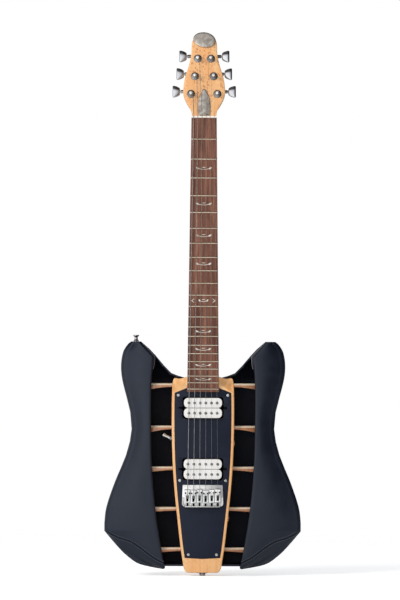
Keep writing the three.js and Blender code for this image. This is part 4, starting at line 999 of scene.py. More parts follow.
# %% The spine
def scooped(rings, rows=6):
    """Hollows each shoulder between the top outline and a ridge that runs from the fingerboard to the edge:
    the depth follows a quarter sine from the ridge, and fades out towards the fingerboard and the edge.
    Returns the hollows and the outline of the flat front that is left."""
    last = shoulder_steps - 1 + scoop_side_points
    edge = rings[0, :last].copy()
    steps = np.linalg.norm(np.diff(edge, axis=0), axis=1)
    share = np.concatenate([[0], np.cumsum(steps) / steps.sum()])
    ridge = mix(np.array([edge[0, 0], 0, scoop_ridge_top]), edge[-1], share[:, None])
    near = smooth_step(np.linalg.norm(edge - ridge, axis=1) / scoop_reach)
    depth = scoop_depth * near * smooth_step(share / scoop_fade)
    deepen = (1 - rings[:, :1, 1] / heel_depth) * depth
    rings[:, :last, 1] += deepen
    rings[:, -last:, 1] += deepen[:, ::-1]
    across = np.linspace(0, 1, rows + 1)[:, None, None]
    hollow = mix(ridge, edge, across)
    hollow[..., 1] = np.sin(across[..., 0] * math.pi / 2) * depth
    grid = np.arange((rows + 1) * last).reshape(rows + 1, last)
    quads = np.stack([grid[:-1, :-1], grid[:-1, 1:], grid[1:, 1:], grid[1:, :-1]], -1).reshape(-1, 4).tolist()
    right = (hollow.reshape(-1, 3), quads)
    rim = np.concatenate([hollow[::-1, 0], ridge[1:]])
    flat = np.concatenate([rim, rings[0, last:-last], (rim * (-1, 1, 1))[::-1]])
    return [right, *flipped([right])], flat


def spine_solids():
    """The slab with its soft front edge and scooped shoulders, the step for the plate, and the two pockets."""
    profile = [(y, spine_edge - math.sqrt(max(spine_edge ** 2 - (spine_edge - y) ** 2, 0)))
               for y in spine_edge * (1 - np.cos(quarter(5)))]
    profile += [(y, 0) for y in np.linspace(plate_seat, heel_depth - 1, 12)]
    profile += [(heel_depth - 0.3, 0.3), (heel_depth, 1)]
    rings = stacked(spine_outline(), profile)
    hollows, flat = scooped(rings)
    recess = plate_outline(0.3)
    step = stacked(recess, [(0.0, 0), (0.4, 0), (plate_seat, 0)])
    pockets = [stacked(outline, [(plate_seat, 0), (plate_seat + 0.2, 0), (pocket_depth, 0)])
               for outline in pickup_openings.values()]
    solids = [walls(rings), cap(flat, [step[0]]), walls(step), *hollows]
    solids += [cap(step[-1], [pocket[0] for pocket in pockets]), cap(rings[-1])]
    solids += [walls(pocket) for pocket in pockets] + [cap(pocket[-1]) for pocket in pockets]
    return solids


def pad_solid():
    """The pad that fills the bowl's window from behind, with a soft edge."""
    side = spine_side(0, window_top)
    profile = [(heel_depth - 1, 0), (body_back - 1.6, 0), (body_back - 0.6, 0.4), (body_back, 1.4)]
    return closed(stacked(both_halves(side), profile))


beam_solids = [neck_solid, *spine_solids(), pad_solid()]
piece("neck_and_spine", beam_solids, figured_maple, replaces=["neck_spine"], sharp_angle=40)
rod_slot = nodes["truss_rod"].material_slots[0]
rod_slot.link = "OBJECT"
rod_slot.material = screw_steel
print("spine outline points:", len(spine_outline()))

# %% [markdown]
# ## Ribs
#
# Ten bent bows tie the spine to the shells. Each is deeper where it meets the shell, and its front curves
# away from the player. The section is a rectangle with its front edges eased, lofted along the bow.

# %% Ten bows
rib_top_shares = [0.1832, 0.3694, 0.5493, 0.7276, 0.9053]
height_at_spine, height_at_shell = 6.4, 20
setback_at_spine, setback_at_shell, rib_back = 12, 23, 28
low_ease, top_ease, highlight_depth = 1.4, 4.2, 3.1
gap_at_spine, gap_at_shell = 0.3, 0.9


def rib_rings(top, steps=28):
    """Sections from spine to shell: height grows with the 1.6 power of the share, setback with its square."""
    share = np.linspace(0, 1, steps)[:, None]
    bottom = top - mix(height_at_spine, height_at_shell, share ** 1.6)
    front = mix(setback_at_spine, setback_at_shell, share ** 2)
    rise, fall = (1 - np.cos(quarter(6)))[None, :], (1 - np.sin(quarter(6)))[None, :]
    back = rib_back + 0 * share
    y = np.concatenate([back, front + low_ease * fall, front + top_ease * rise, back], 1)
    z = np.concatenate([bottom, bottom + low_ease * rise, top - top_ease * fall + 0 * share, top + 0 * share], 1)
    near = spine_half(z) + gap_at_spine
    far = side_half(z) - wall * side_stretch(z) - gap_at_shell
    return np.stack([mix(near, far, share), y, z], 2)


def lay_ply(bow, top):
    """Paints the faces in the bow's top layer pale: a painted highlight."""
    bow.data.materials.append(top_highlight_pale)
    centres = np.zeros(len(bow.data.polygons) * 3)
    bow.data.polygons.foreach_get("center", centres)
    bow.data.polygons.foreach_set("material_index", (centres[2::3] > (top - highlight_depth) * mm).astype(np.int32))


# Each rib's top layer is painted pale as a highlight.
for number, share in enumerate(rib_top_shares, 1):
    top = float(station(share))
    for bow in pair(f"rib_{number}", [closed(rib_rings(top))], shaded_rib_maple, f"rib_{{}}_{number}"):
        lay_ply(bow, top)
print("ribs:", 2 * len(rib_top_shares))

# %% [markdown]
# ## Fingerboard, frets and nut
#
# The board is a slab of rosewood whose face is very slightly crowned across. Each of the 22 frets stands
# where the octave's twelfth part falls: its distance from the nut is the scale length times one minus two to
# the power of minus a twelfth of its number. A fret is a small half-round bar; the markers are thin pearl
# crescents let into the wood.

# %% Fingerboard
scale_length, board_thickness, board_crown, board_ease = 647.7, 6.0, 0.35, 0.5
fret_count, fret_width, fret_height, fret_inset, fret_bevel = 22, 2.4, 1.1, 0.15, 0.9


def fret_z(number):
    """Height of a fret."""
    return -scale_length * (1 - 2 ** (-np.asarray(number, float) / 12))


def board_y(x, z):
    """The board's face: a shallow parabola, highest along the middle."""
    return -board_thickness + board_crown * (x / board_half(z)) ** 2


def board_rings():
    """Level sections: the crowned face with its two edges eased, and the flat glue face."""
    rings = []
    for z in np.linspace(0, board_end, 40):
        half = float(board_half(z))
        x = np.concatenate([[half], half - board_ease * (1 - np.cos(quarter(3))),
                            np.linspace(half - 0.6, -half + 0.6, 13),
                            -half + board_ease * (1 - np.cos(quarter(3)[::-1])), [-half]])
        y = board_y(x, z)
        y[1:5] += board_ease * (1 - np.sin(quarter(3)))
        y[-5:-1] += board_ease * (1 - np.sin(quarter(3)[::-1]))
        y[0] = y[-1] = 0
        rings.append(np.stack([x, y, np.full_like(x, z)], 1))
    return np.array(rings)


piece("fingerboard_wood", [closed(board_rings())], rosewood, replaces=["fingerboard"])
print("board ends at", board_end, "mm")


# %% Frets
def fret_rings(number):
    """A crowned bar across the board: half an ellipse over a foot, shrinking to a bevel at each end."""
    z = float(fret_z(number))
    half = float(board_half(z)) - fret_inset
    x = np.array([-half, -half + 0.35, -half + fret_bevel, *np.linspace(-half + 2, half - 2, 9),
                  half - fret_bevel, half - 0.35, half])
    rise = np.clip((half - np.abs(x)) / fret_bevel, 0, 1) ** 0.6 * fret_height + 0.05
    angle = np.linspace(0, math.pi, 9)
    y = board_y(x, z)[:, None] - rise[:, None] * np.sin(angle)
    along = z + fret_width / 2 * np.cos(angle)[None, :] + 0 * x[:, None]
    ring = np.stack([x[:, None] + 0 * y, y, along], 2)
    foot = np.stack([np.stack([x, board_y(x, z) + 0.4, np.full_like(x, z + side)], 1)
                     for side in (-fret_width / 2, fret_width / 2)], 1)
    return np.concatenate([ring, foot], 1)


frets = [closed(fret_rings(number)) for number in range(1, fret_count + 1)]
piece("frets", frets, fret_nickel)
print("last fret at", round(float(fret_z(fret_count)), 2), "mm")


# %% Pearl markers
marker_frets, octave_fret = (3, 5, 7, 9, 12, 15, 17, 19, 21), 12
marker_reach, octave_reach, chevron_place = 13.9, 8.6, 18.5


def crescent(centre_z, start_x, end_x, sag, thick, thin):
    """A flat bow: a parabola between two places, lower in the middle, its width swelling near each end."""
    share = np.linspace(-1, 1, 33)
    x = mix(start_x, end_x, (share + 1) / 2)
    middle = centre_z - sag * (1 - share ** 2)
    swell = smooth_step((np.abs(share) - 0.5) / 0.3) * np.clip((1 - np.abs(share)) / 0.16, 0.12, 1)
    half = np.maximum(thick * swell, thin) / 2 * np.clip((1 - np.abs(share)) / 0.05, 0.1, 1)
    top, bottom = np.stack([x, middle + half], 1), np.stack([x, middle - half], 1)
    return np.concatenate([top, bottom[::-1]])


def chevron(centre_x, centre_z, side, reach=2.6, rise=3.2, width=1.3):
    """A bent bar that points outwards, as a mitred strip of even width."""
    spine = np.array([[-side * reach, rise], [side * reach * 0.6, 0], [-side * reach, -rise]])
    outer = spine + [[0, width / 2], [side * width * 0.75, 0], [0, -width / 2]]
    inner = spine - [[0, width / 2], [side * width * 0.75, 0], [0, -width / 2]]
    return np.concatenate([outer, inner[::-1]]) + (centre_x, centre_z)


def inlay(outline):
    """A flat plate of pearl that follows the crown of the board and stands a hair above it."""
    points, faces = closed(stacked(outline, [(0.0, 0), (1.0, 0)]))
    lift = board_y(points[:, 0], points[:, 2])
    points[:, 1] = lift + np.where(points[:, 1] > 0.5, 0.6, -0.02)
    return points, faces


inlays = []
for number in marker_frets:
    middle = float(fret_z(number) + fret_z(number - 1)) / 2
    room = float(fret_z(number - 1) - fret_z(number))
    size = min(room / 14, 1)
    reach = octave_reach if number == octave_fret else marker_reach
    inlays.append(inlay(crescent(middle + 1.6 * size, -reach, reach, 3.2 * size, 3.6 * size, 0.9)))
    inlays.append(inlay(ellipse(3.0, 0.55, (0, middle + 1.9 * size), 16)))
    if number == octave_fret:
        inlays += [inlay(chevron(side * chevron_place, middle, side)) for side in (-1, 1)]
piece("board_markers", inlays, pearl)
print("markers:", len(inlays))

# %% [markdown]
# ## The nut
#
# The nut is a white bar of bone that the strings cross before the headstock, each in a slot of its own width.
# A cut with six cylinders would leave long thin faces. So the bar is lofted across the neck with its sections
# packed close at every slot, and the slots are real dips in the mesh.

# %% Nut
string_gauges = [1.17, 0.91, 0.66, 0.43, 0.33, 0.25]
nut_height, bridge_height = 7.6, 11.8
spread_at_nut, spread_at_bridge = 35.5, 52.3


def string_x(number, z):
    """A string's distance from the centreline at a height; string 0 is the thickest, on the left."""
    return mix(spread_at_nut, spread_at_bridge, -np.asarray(z, float) / scale_length) * (number / 5 - 0.5)


def nut_rings():
    """Sections across the nut: its top edge is rounded, and dips where each string lies."""
    half = float(board_half(0))
    slots = np.array([float(string_x(number, 0)) for number in range(6)])
    radii = np.array(string_gauges) / 2 + 0.2
    x = np.unique(np.concatenate([np.linspace(-half, half, 20), (slots[:, None] + radii[:, None] * np.array(
        [-1, -0.95, -0.5, 0, 0.5, 0.95, 1])).ravel()]))
    near = np.abs(x[:, None] - slots).argmin(1)
    gap = np.abs(x - slots[near])
    floor = nut_height - radii[near] * 0.4 + 0.0 * x
    top = np.where(gap < radii[near] * 0.97, floor, nut_height + 0.7)
    rings = []
    for place, height in zip(x, top):
        ease = min(1.0, 0.2 * height)
        low = quarter(3)
        y = np.concatenate([[0], -height + ease * (1 - np.sin(low)), -height + ease * (1 - np.cos(low)), [0]])
        z = np.concatenate([[0], ease * (1 - np.cos(low)), nut_thickness - ease * (1 - np.sin(low)),
                            [nut_thickness]])
        rings.append(np.stack([np.full_like(y, place), y, z], 1))
    return np.array(rings)


piece("bone_nut", [closed(nut_rings())], nut_white, replaces=["nut"])
print("nut slots:", len(string_gauges), "across", spread_at_nut, "mm")

# %% [markdown]
# ## Plate, pickups and screws
#
# The plate is a flat outline pierced for the pickups and filled with triangles, because a plane needs no grid.
# A pickup is two white coils with a row of slotted poles each, on a thin base whose ears hang on two screws.
# A slotted head is two half discs on a thinner disc: cheaper and cleaner than cutting a slot.

# %% Screws
def half_disc(radius, gap, centre, turn):
    """Outline of the part of a disc beyond a gap from its middle line, turned by an angle."""
    start = math.asin(gap / radius)
    angle = np.linspace(start, math.pi - start, 15)
    x, z = radius * np.cos(angle), radius * np.sin(angle)
    cos, sin = math.cos(turn), math.sin(turn)
    return np.stack([x * cos - z * sin, x * sin + z * cos], 1) + centre


def slotted_head(radius, top, height, centre, turn=0.0, slot=0.3, crown=0.25):
    """Two half discs with soft edges over a disc that is the floor of the slot."""
    solids = []
    for side in (0, math.pi):
        outline = half_disc(radius, slot, centre, turn + side)
        profile = [(top, crown * 1.6), (top + crown * 0.4, crown * 0.6), (top + crown, 0), (top + height, 0)]
        solids.append(closed(stacked(outline, profile)))
    solids.append(bar(radius - 0.1, height * 0.45, (centre[0], top + height * 0.55, centre[1]), (0, 1, 0), 20))
    return solids


def cross_head(radius, top, height, centre, turn=0.0):
    """A domed screw head with a cross: four quarter discs over a floor."""
    solids, gap = [], radius * 0.14
    start = math.asin(gap / radius)
    for side in range(4):
        angle = np.linspace(start, math.pi / 2 - start, 8) + side * math.pi / 2 + turn
        rim = np.stack([radius * np.cos(angle), radius * np.sin(angle)], 1)
        bisector = math.pi / 4 + side * math.pi / 2 + turn
        inner = gap * 1.5 * np.array([[math.cos(bisector), math.sin(bisector)]])
        outline = np.concatenate([inner, rim]) + centre
        solids.append(closed(stacked(outline, [(top, radius * 0.12), (top + 0.15 * radius, 0), (top + height, 0)])))
    solids.append(bar(radius - 0.1, height * 0.5, (centre[0], top + height * 0.5, centre[1]), (0, 1, 0), 20))
    return solids


# %% Front plate
plate_face, plate_back = 0.4, plate_seat
string_hole_z = -654.3
plate_screw_shares = [(0.8, 0.042), (0.79, 0.541), (0.673, 0.9745)]
wheel_places = {"volume_wheel": (43.499, -559.765), "tone_wheel": (33.970, -688.5)}

plate_profile = [(plate_face, 0.7), (plate_face + 0.1, 0.35), (plate_face + 0.35, 0.1), (plate_face + 0.7, 0),
                 (plate_back, 0)]
wheel_boss = [(3.4, -0.5), (6.2, 0), (6.2, 7.2), (2.3, 7.2), (2.3, 2.2)]
plate_solids = pierced(plate_outline(), list(pickup_openings.values()), plate_profile)
for x, z in wheel_places.values():
    plate_solids.append(turned(wheel_boss, (x, plate_back, z), (0, 1, 0)))
piece("plate", plate_solids, plate_black, replaces=["front_plate"])

plate_screws = []
for number, (out, down) in enumerate(plate_screw_shares):
    z = mix(plate_top, plate_end, down)
    for side in (-1, 1):
        x = side * out * float(spine_half(z))
        turn = 0.9 + number * 0.7 + 0.5 * side
        plate_screws += slotted_head(2.4, plate_face - 1.0, 1.3, (x, z), turn, slot=0.4, crown=0.4)
piece("plate_screws", plate_screws, satin_chrome)
print("plate screws:", 2 * len(plate_screw_shares))

# %% Pickups
coil_gap, coil_half_x, coil_half_z, coil_corner = 0.8, 32.7, 8.4, 7.0
coil_front, coil_rim, coil_foot, coil_back = -7.5, -4.6, 6.0, 7.0
pole_radius, pole_front, pole_height = 2.35, -8.2, 0.9
ear_screw_x = 38.6


def coil_centre(centre_z, side):
    """Height of the middle of a pickup's lower or upper coil."""
    return centre_z + side * (2 * coil_half_z + coil_gap) / 2


def coil_solids(centre_z):
    """Two mouldings: each a head with soft edges, a core a little narrower, and a thin foot."""
    solids = []
    for side in (-1, 1):
        outline = rounded_box(coil_half_x, coil_half_z, coil_corner, (0, coil_centre(centre_z, side)), 10)
        solids.append(closed(stacked(outline, soft_edges(coil_front, coil_rim, 0.8))))
        solids.append(closed(stacked(outline, [(coil_rim, 1.2), (coil_foot, 1.2)])))
        solids.append(closed(stacked(outline, [(coil_foot, 0), (coil_back, 0)])))
    return solids


def pole_rows(centre_z):
    """Two rows of six slotted poles, one in the middle of each coil, their slots turned a little differently."""
    solids = []
    for side in (-1, 1):
        for number in range(6):
            place = (float(string_x(number, centre_z)), coil_centre(centre_z, side))
            turn = 0.75 + 0.25 * math.sin(2.3 * number + side)
            solids += slotted_head(pole_radius, pole_front, pole_height, place, turn, slot=0.42, crown=0.2)
    return solids


def ear_screws(centre_z):
    """The two screws in the ears of a pickup's base, each a slotted head on a thin shaft."""
    solids = []
    for side in (-1, 1):
        solids += slotted_head(1.4, 0.6, 1.2, (side * ear_screw_x, centre_z), 0.7 * side, slot=0.25, crown=0.2)
        solids.append(bar(1.0, 12, (side * ear_screw_x, 1.4, centre_z), (0, 1, 0), 12))
    return solids


# The block behind each pair of coils is near black: painted shade in the well.
for name, centre_z in pickup_heights.items():
    base = eared_box(pickup_half_x, pickup_half_z, 5.2, 41, 1.4, centre_z)
    shade_fill = eared_box(35.4, 18.9, 5.4, 41.4, 1.6, centre_z)
    piece(name + "_coils", coil_solids(centre_z), coil_white, replaces=[name])
    piece(name + "_base", [closed(stacked(base, [(7.0, 0.3), (7.2, 0), (8.5, 0)]))], black_and_painted_shade)
    piece(name + "_shade_block", [closed(stacked(shade_fill, [(9.0, 0.1), (19.5, 0.1)]))], black_and_painted_shade)
    piece(name + "_poles", pole_rows(centre_z), screw_steel)
    piece(name + "_height_screws", ear_screws(centre_z), blackened_and_shade_black)
print("pickups:", list(pickup_heights))

# %% [markdown]
# ## Bridge and saddles
#
# The bridge is a satin plate with a bent lip behind, and six brushed saddles stand on it. Each saddle is a
# block with a rounded crown for the string, a slot for it to dive into, and two small height screws.

# %% Bridge plate
bridge_top_z, bridge_end_z, bridge_face, saddle_z = -631.0, -669.3, -1.2, -647.7
bridge_half_top, bridge_half_foot, bridge_corner = 34.4, 35.6, 7
bridge_screw_z, length_screw_y = -664.5, -6.0


def bridge_outline():
    """A plate a little wider at its foot, whose lower corners are quarter circles."""
    turn, share = quarter(8), np.linspace(0.05, 0.95, 8)
    foot = np.stack([bridge_half_foot - bridge_corner * (1 - np.cos(turn)),
                     bridge_end_z + bridge_corner * (1 - np.sin(turn))], 1)
    top = np.array([[bridge_half_top - 0.5, bridge_top_z], [bridge_half_top, bridge_top_z - 0.5]])
    side = np.stack([mix(bridge_half_top, bridge_half_foot, share), mix(bridge_top_z, bridge_end_z, share * 0.8)], 1)
    return both_halves(np.concatenate([top, side, foot]))


rim_start_z, rim_width, rim_rise, rim_side_x, rim_side_drop = -651.0, 1.9, 8.4, 29, 4.4
rim_section = [(0, 0), (0, 0.86), (0.06, 0.93), (0.2, 0.985), (0.5, 1), (0.8, 0.985), (0.94, 0.93), (1, 0.86), (1, 0)]


def rim_solid():
    """A wall that follows the plate's lower edge like a tray's: highest along the foot, lower up the sides.
    Its section is a narrow box whose two upper edges are rounded; it is carried along the outline."""
    outline = bridge_outline()
    path = outline[outline[:, 1] < rim_start_z]
    chord = np.gradient(path, axis=0)
    inward = unit(np.stack([chord[:, 1], -chord[:, 0]], 1))
    out = np.abs(path[:, 0])
    drop = rim_side_drop * smooth_step((out - rim_side_x) / 5 + (path[:, 1] - bridge_end_z) / 14)
    rise = np.where(out < rim_side_x, rim_rise, rim_rise - drop)
    rings = [np.stack([path[:, 0] + inward[:, 0] * rim_width * across, 0.2 - (rise + 1.4) * up,
                       path[:, 1] + inward[:, 1] * rim_width * across], 1) for across, up in rim_section]
    return closed(np.stack(rings, 1))


bridge_solids = [closed(stacked(bridge_outline(), [(bridge_face, 0.5), (bridge_face + 0.15, 0.15),
                                                   (bridge_face + 0.5, 0), (0.4, 0)])), rim_solid()]
piece("bridge", bridge_solids, satin_chrome, replaces=["bridge_plate"])

# Near-black inserts in the bridge's openings and in the notch behind each saddle: painted shade.
opening_places, opening_half_x = ((-653.9, 4.6), (-664.6, 2.5)), 1.7
opening_shades = []
for number in range(6):
    x = float(string_x(number, saddle_z))
    for middle, half_z in opening_places:
        outline = rounded_box(opening_half_x, half_z, 1.0, (x, middle), 4)
        opening_shades.append(closed(stacked(outline, [(bridge_face - 0.12, 0), (bridge_face + 0.3, 0)])))
piece("bridge_opening_shades", opening_shades, black_and_painted_shade)
print("openings in the bridge:", len(opening_shades))

# %% Screws of the bridge
bridge_screws, length_screws = [], []
for first in (0, 2, 4):
    x = float(string_x(first, saddle_z) + string_x(first + 1, saddle_z)) / 2
    bridge_screws += cross_head(2.1, bridge_face - 0.9, 1.1, (x, bridge_screw_z), 0.5 * first)
for number in range(6):
    x, z = float(string_x(number, saddle_z)), bridge_end_z - 1.8
    head = turned([(1.3, 0), (2.0, 0.25), (2.2, 0.7), (2.2, 1.8)], (x, length_screw_y, z), (0, 0, 1), 20)
    length_screws += [head, bar(1.0, 12.2, (x, length_screw_y, z + 1.6), (0, 0, 1), 14)]
piece("bridge_screws", bridge_screws, satin_chrome)
# The length screws are black, which also keeps the notch behind each saddle dark: painted shade.
piece("length_screws", length_screws, blackened_and_shade_black)
print("length screws at y", length_screw_y, "mm")


# %% Saddles
saddle_half, slot_half = 4.95, 1.75
saddle_trims = [-0.2, -0.8, 0.6, -1, 0.3, 1]
saddle_top, saddle_back, slot_top, slot_end = -638.5, -661.7, -648.3, -658.9
saddle_foot, saddle_screw_x, saddle_screw_z = bridge_face - 1.0, 3.2, -644.6
saddle_side_view = [(0.0, 2.5), (1.0, 0.9), (2.6, 0.15), (4.2, 0), (11.6, 0), (14.5, 0.9), (20.4, 2.4), (23.2, 2.4)]


def shifted_up(solids, rise):
    """The same solids, moved up the guitar."""
    return [(points + (0, 0, rise), faces) for points, faces in solids]


def saddle_outline(x):
    """The saddle seen from the front: a block whose far corners are eased."""
    return rounded_box(saddle_half, (saddle_top - saddle_back) / 2, 0.9, (x, (saddle_top + saddle_back) / 2), 4)


def saddle_solids(number):
    """A pierced block whose front face is bent to the saddle's side view: crown, flat and lower tail."""
    x = float(string_x(number, saddle_z))
    crown = -bridge_height + string_gauges[number] / 2 + 0.15
    slot = rounded_box(slot_half, (slot_top - slot_end) / 2, 1.2, (x, (slot_top + slot_end) / 2), 5)
    bent = []
    for points, faces in pierced(saddle_outline(x), [slot], [(0.0, 0.55), (0.2, 0.2), (0.55, 0), (1.0, 0)]):
        points = points.copy()
        depth = np.clip(points[:, 1], 0, 1)
        fall = smooth_curve(saddle_side_view, saddle_top - points[:, 2])
        points[:, 1] = np.where(depth < 0.99, crown + fall + depth, saddle_foot)
        bent.append((points, faces))
    return shifted_up(bent, saddle_trims[number])


def saddle_screws(number):
    """The two height screws: a head in the saddle's front, and a thinner shaft under it."""
    crown = -bridge_height + string_gauges[number] / 2
    z = saddle_screw_z + saddle_trims[number]
    solids = []
    for side in (-1, 1):
        x = float(string_x(number, saddle_z)) + side * saddle_screw_x
        solids.append(bar(1.4, 2.2, (x, crown - 0.25, z), (0, 1, 0), 16))
        solids.append(bar(1.0, 9.0, (x, crown + 1.6, z), (0, 1, 0), 12))
    return solids


for number in range(6):
    name = f"saddle_{number + 1}"
    piece(name + "_block", saddle_solids(number), satin_chrome, body=name, replaces=[name])
    piece(name + "_height_screws", saddle_screws(number), blackened_and_shade_black, body=name)
print("saddles:", 6)

# %% [markdown]
# ## Strings
#
# A string starts at a ball behind the spine, bends over its saddle, runs straight to the nut, and takes three
# turns round its post. The path is one line of points; a tube is carried along it with its rings square to the
# path. The three thick strings are wound with fine wire; all six share one steel with a fine thread of bumps.

# %% Paths and tubes
post_shares, first_post, post_pitch = (0.629, 0.446, 0.316), 38.5, 31
post_waist, winding_clearance, winding_gap, winding_turns, first_turn_y = 2.4, 0.3, 0.45, 3, -3.6
string_start_y, saddle_bend = 42.6, 2.6
tuners = []
for side in (-1, 1):
    for rank, out in enumerate(post_shares):
        tuners.append({"side": side, "x": side * out * head_half_width, "z": first_post + rank * post_pitch,
                       "number": rank if side < 0 else 5 - rank})


def bend_over(corner_path, radius, steps=7):
    """Each inner corner of a path replaced by a smooth bend: a quadratic curve between two nearby points."""
    path = [np.asarray(corner_path[0], float)]
    for before, corner, after in zip(corner_path, corner_path[1:], corner_path[2:]):
        before, corner, after = (np.asarray(point, float) for point in (before, corner, after))
        enter = corner + unit(before - corner) * radius
        leave = corner + unit(after - corner) * radius
        share = np.linspace(0, 1, steps)[:, None]
        path.extend((1 - share) ** 2 * enter + 2 * share * (1 - share) * corner + share ** 2 * leave)
    path.append(np.asarray(corner_path[-1], float))
    return np.array(path)


def winding(tuner):
    """A helix round the post, one wire's width further from the head at each turn."""
    gauge = string_gauges[tuner["number"]]
    turn = np.linspace(0, winding_turns, 73)
    angle = 2 * math.pi * turn
    radius = post_waist + winding_clearance + gauge / 2
    x = tuner["x"] - tuner["side"] * radius * np.cos(angle)
    y = first_turn_y - turn * (gauge + winding_gap)
    return in_head(np.stack([x, y, tuner["z"] + radius * np.sin(angle)], 1))


# %% Six strings
head_across = in_head((0, 1, 0)) - in_head((0, 0, 0))
for tuner in tuners:
    number = tuner["number"]
    gauge = string_gauges[number]
    x = float(string_x(number, saddle_z))
    past_nut = nut_thickness + 0.3
    coil = winding(tuner)
    over_saddle = bend_over([(x, string_start_y, string_hole_z), (x, -bridge_height, string_hole_z),
                             (float(string_x(number, 0)), -nut_height, 0)], saddle_bend)
    to_post = np.concatenate([[(float(string_x(number, 0)), -nut_height, 0),
                               (float(string_x(number, past_nut)), -nut_height, past_nut)], coil[:1]])
    far = unit(to_post[2] - to_post[1])
    lead = to_post[1] + far * np.linspace(0, np.linalg.norm(to_post[2] - to_post[1]), 12)[1:-1, None]
    wire = [tube(over_saddle, gauge / 2, (1, 0, 0)),
            tube(np.concatenate([to_post[:2], lead, coil]), gauge / 2, head_across)]
    ball = turned([(1.2, 0), (2, 0.6), (2, 2.6), (1.2, 3.2)], (x, 42.3, string_hole_z), (0, 1, 0), 16)
    piece(f"string_{number + 1}_wire", [*wire, ball], string_steel,
          replaces=[f"string_{number + 1}"])
print("strings:", len(tuners))

# %% [markdown]
# ## Tuners
#
# Each tuner has a housing behind the headstock, a post that rises through a washer in front, and a flared
# button that turns it through a worm gear. The button's section is an oval that grows along it, which is what
# puts a dark sky over a bright lower half in the chrome.

# %% The button
shaft_rise, shaft_y, button_reach, button_length = 8.2, 21.9, 25.4, 13.2
button_half_y, button_half_z, button_power = 3.6, 10.3, 0.8
button_shares = [(0, 0.55, 0.36), (0.02, 0.7, 0.5), (0.07, 0.84, 0.61), (0.28, 0.95, 0.79), (0.52, 1, 0.91),
                 (0.72, 1, 0.985), (0.83, 0.97, 1), (0.93, 0.88, 0.975), (0.98, 0.7, 0.91), (1, 0.5, 0.82)]


def button_rings(tuner):
    """Ovals along the shaft's axis; depth and height are smooth curves of the share along the button. A power
    under one on sine and cosine makes each oval a little fuller than an ellipse."""
    along, deep, tall = np.array(button_shares).T
    share = np.unique(np.concatenate([np.linspace(0, 1, 26), [0.985]]))
    half_y = smooth_curve(list(zip(along, deep)), share)[:, None] * button_half_y
    half_z = smooth_curve(list(zip(along, tall)), share)[:, None] * button_half_z
    angle = np.linspace(0, 2 * math.pi, 40, endpoint=False)[None, :]
    start = button_reach - button_length / 2
    x = tuner["x"] + tuner["side"] * (start + share[:, None] * button_length) + 0 * angle
    y = shaft_y + half_y * np.sign(np.cos(angle)) * np.abs(np.cos(angle)) ** button_power
    z = tuner["z"] + shaft_rise + half_z * np.sign(np.sin(angle)) * np.abs(np.sin(angle)) ** button_power
    return np.stack([x, y, z], 2)


print("button reach from its post:", button_reach + button_length / 2, "mm")


# %% Housing, washer, sleeve and post
sleeve_start, sleeve_end = 8.2, button_reach - button_length / 2 - 0.9


def housing_solids(tuner):
    """A cast box with soft edges, a bushing through the wood, and a screw behind."""
    x, z, side = tuner["x"], tuner["z"], tuner["side"]
    outline = rounded_box(8, 13, 3, (x, z + shaft_rise / 2), 5)
    box = closed(stacked(outline, [(15.3, 0.4), (15.6, 0), (24.2, 0), (25.2, 0.35), (25.9, 1.0), (26.3, 2.0)]))
    bushing = turned([(3.4, -1.0), (4.7, -0.9), (4.7, 16)], (x, 0, z), (0, 1, 0))
    screw = turned([(0.4, 28.0), (1.4, 27.8), (2.1, 27.3), (2.3, 26.6), (2.3, 25.6)],
                   (x - side * 5, 0, z - 7), (0, 1, 0), 24)
    return [box, bushing, screw]


def washer_solid(tuner):
    """A domed washer in front of the wood, with a nut's shoulder round the post."""
    return turned([(3.45, -2.7), (4.4, -2.7), (4.9, -2.4), (5.2, -1.9), (5.9, -1.6), (6.6, -1.1), (7, -0.6),
                   (7, -0.3), (3.45, -0.3)], (tuner["x"], 0, tuner["z"]), (0, 1, 0), 40)


def sleeve_solid(tuner):
    """The sleeve that the shaft leaves the housing through. It ends just short of the button."""
    profile = [(1.9, sleeve_start), (3.0, sleeve_start), (3.0, sleeve_end - 0.6), (2.6, sleeve_end),
               (1.9, sleeve_end)]
    return turned(profile, (tuner["x"], shaft_y, tuner["z"] + shaft_rise), (tuner["side"], 0, 0), 28)


def post_solids(tuner):
    """A turned post: a collar above the washer, a waist for the string, and a rounded top."""
    x, z = tuner["x"], tuner["z"]
    profile = [(3.1, -18), (3.1, 1.9), (2.4, 2.6), (2.4, 12.2), (2.6, 12.6), (3.1, 13.1), (3.1, 14.1),
               (2.9, 14.6), (2.4, 14.9), (1.6, 15)]
    return [turned(profile, (x, 0, z), (0, -1, 0), 28)]


# %% Six tuners
for tuner in tuners:
    name = f"tuner_{tuner['number'] + 1}"
    piece(name + "_case", placed_in_head(housing_solids(tuner)), chrome,
          replaces=[name + "_housing"])
    piece(name + "_sleeve", placed_in_head([sleeve_solid(tuner)]), shaded_chrome)
    piece(name + "_washer", placed_in_head([washer_solid(tuner)]), shaded_chrome)
    piece(name + "_peg", placed_in_head(post_solids(tuner)), satin_chrome, body=name + "_post",
          replaces=[name + "_post"])
    shaft = bar(1.6, 19.5, (tuner["x"], shaft_y, tuner["z"] + shaft_rise), (tuner["side"], 0, 0), 20, 0.2)
    piece(name + "_knob", placed_in_head([closed(button_rings(tuner)), shaft]), chrome,
          body=name + "_button", replaces=[name + "_button"])
print("tuners:", len(tuners))

# %% [markdown]
# ## Small castings and controls
#
# An oval pewter cap closes the headstock's tip and an arch-shaped cover hides the truss rod. Both are plates
# with a soft edge, so each is one outline drawn in step by step towards its face. The strap buttons and the lever
# are turned parts: a profile swung round an axis has every waist and rim that a scaled primitive would lack. The
# thumbwheels are discs whose rim is a wave. The jack and the switch's case hardly show, so they copy the frame.

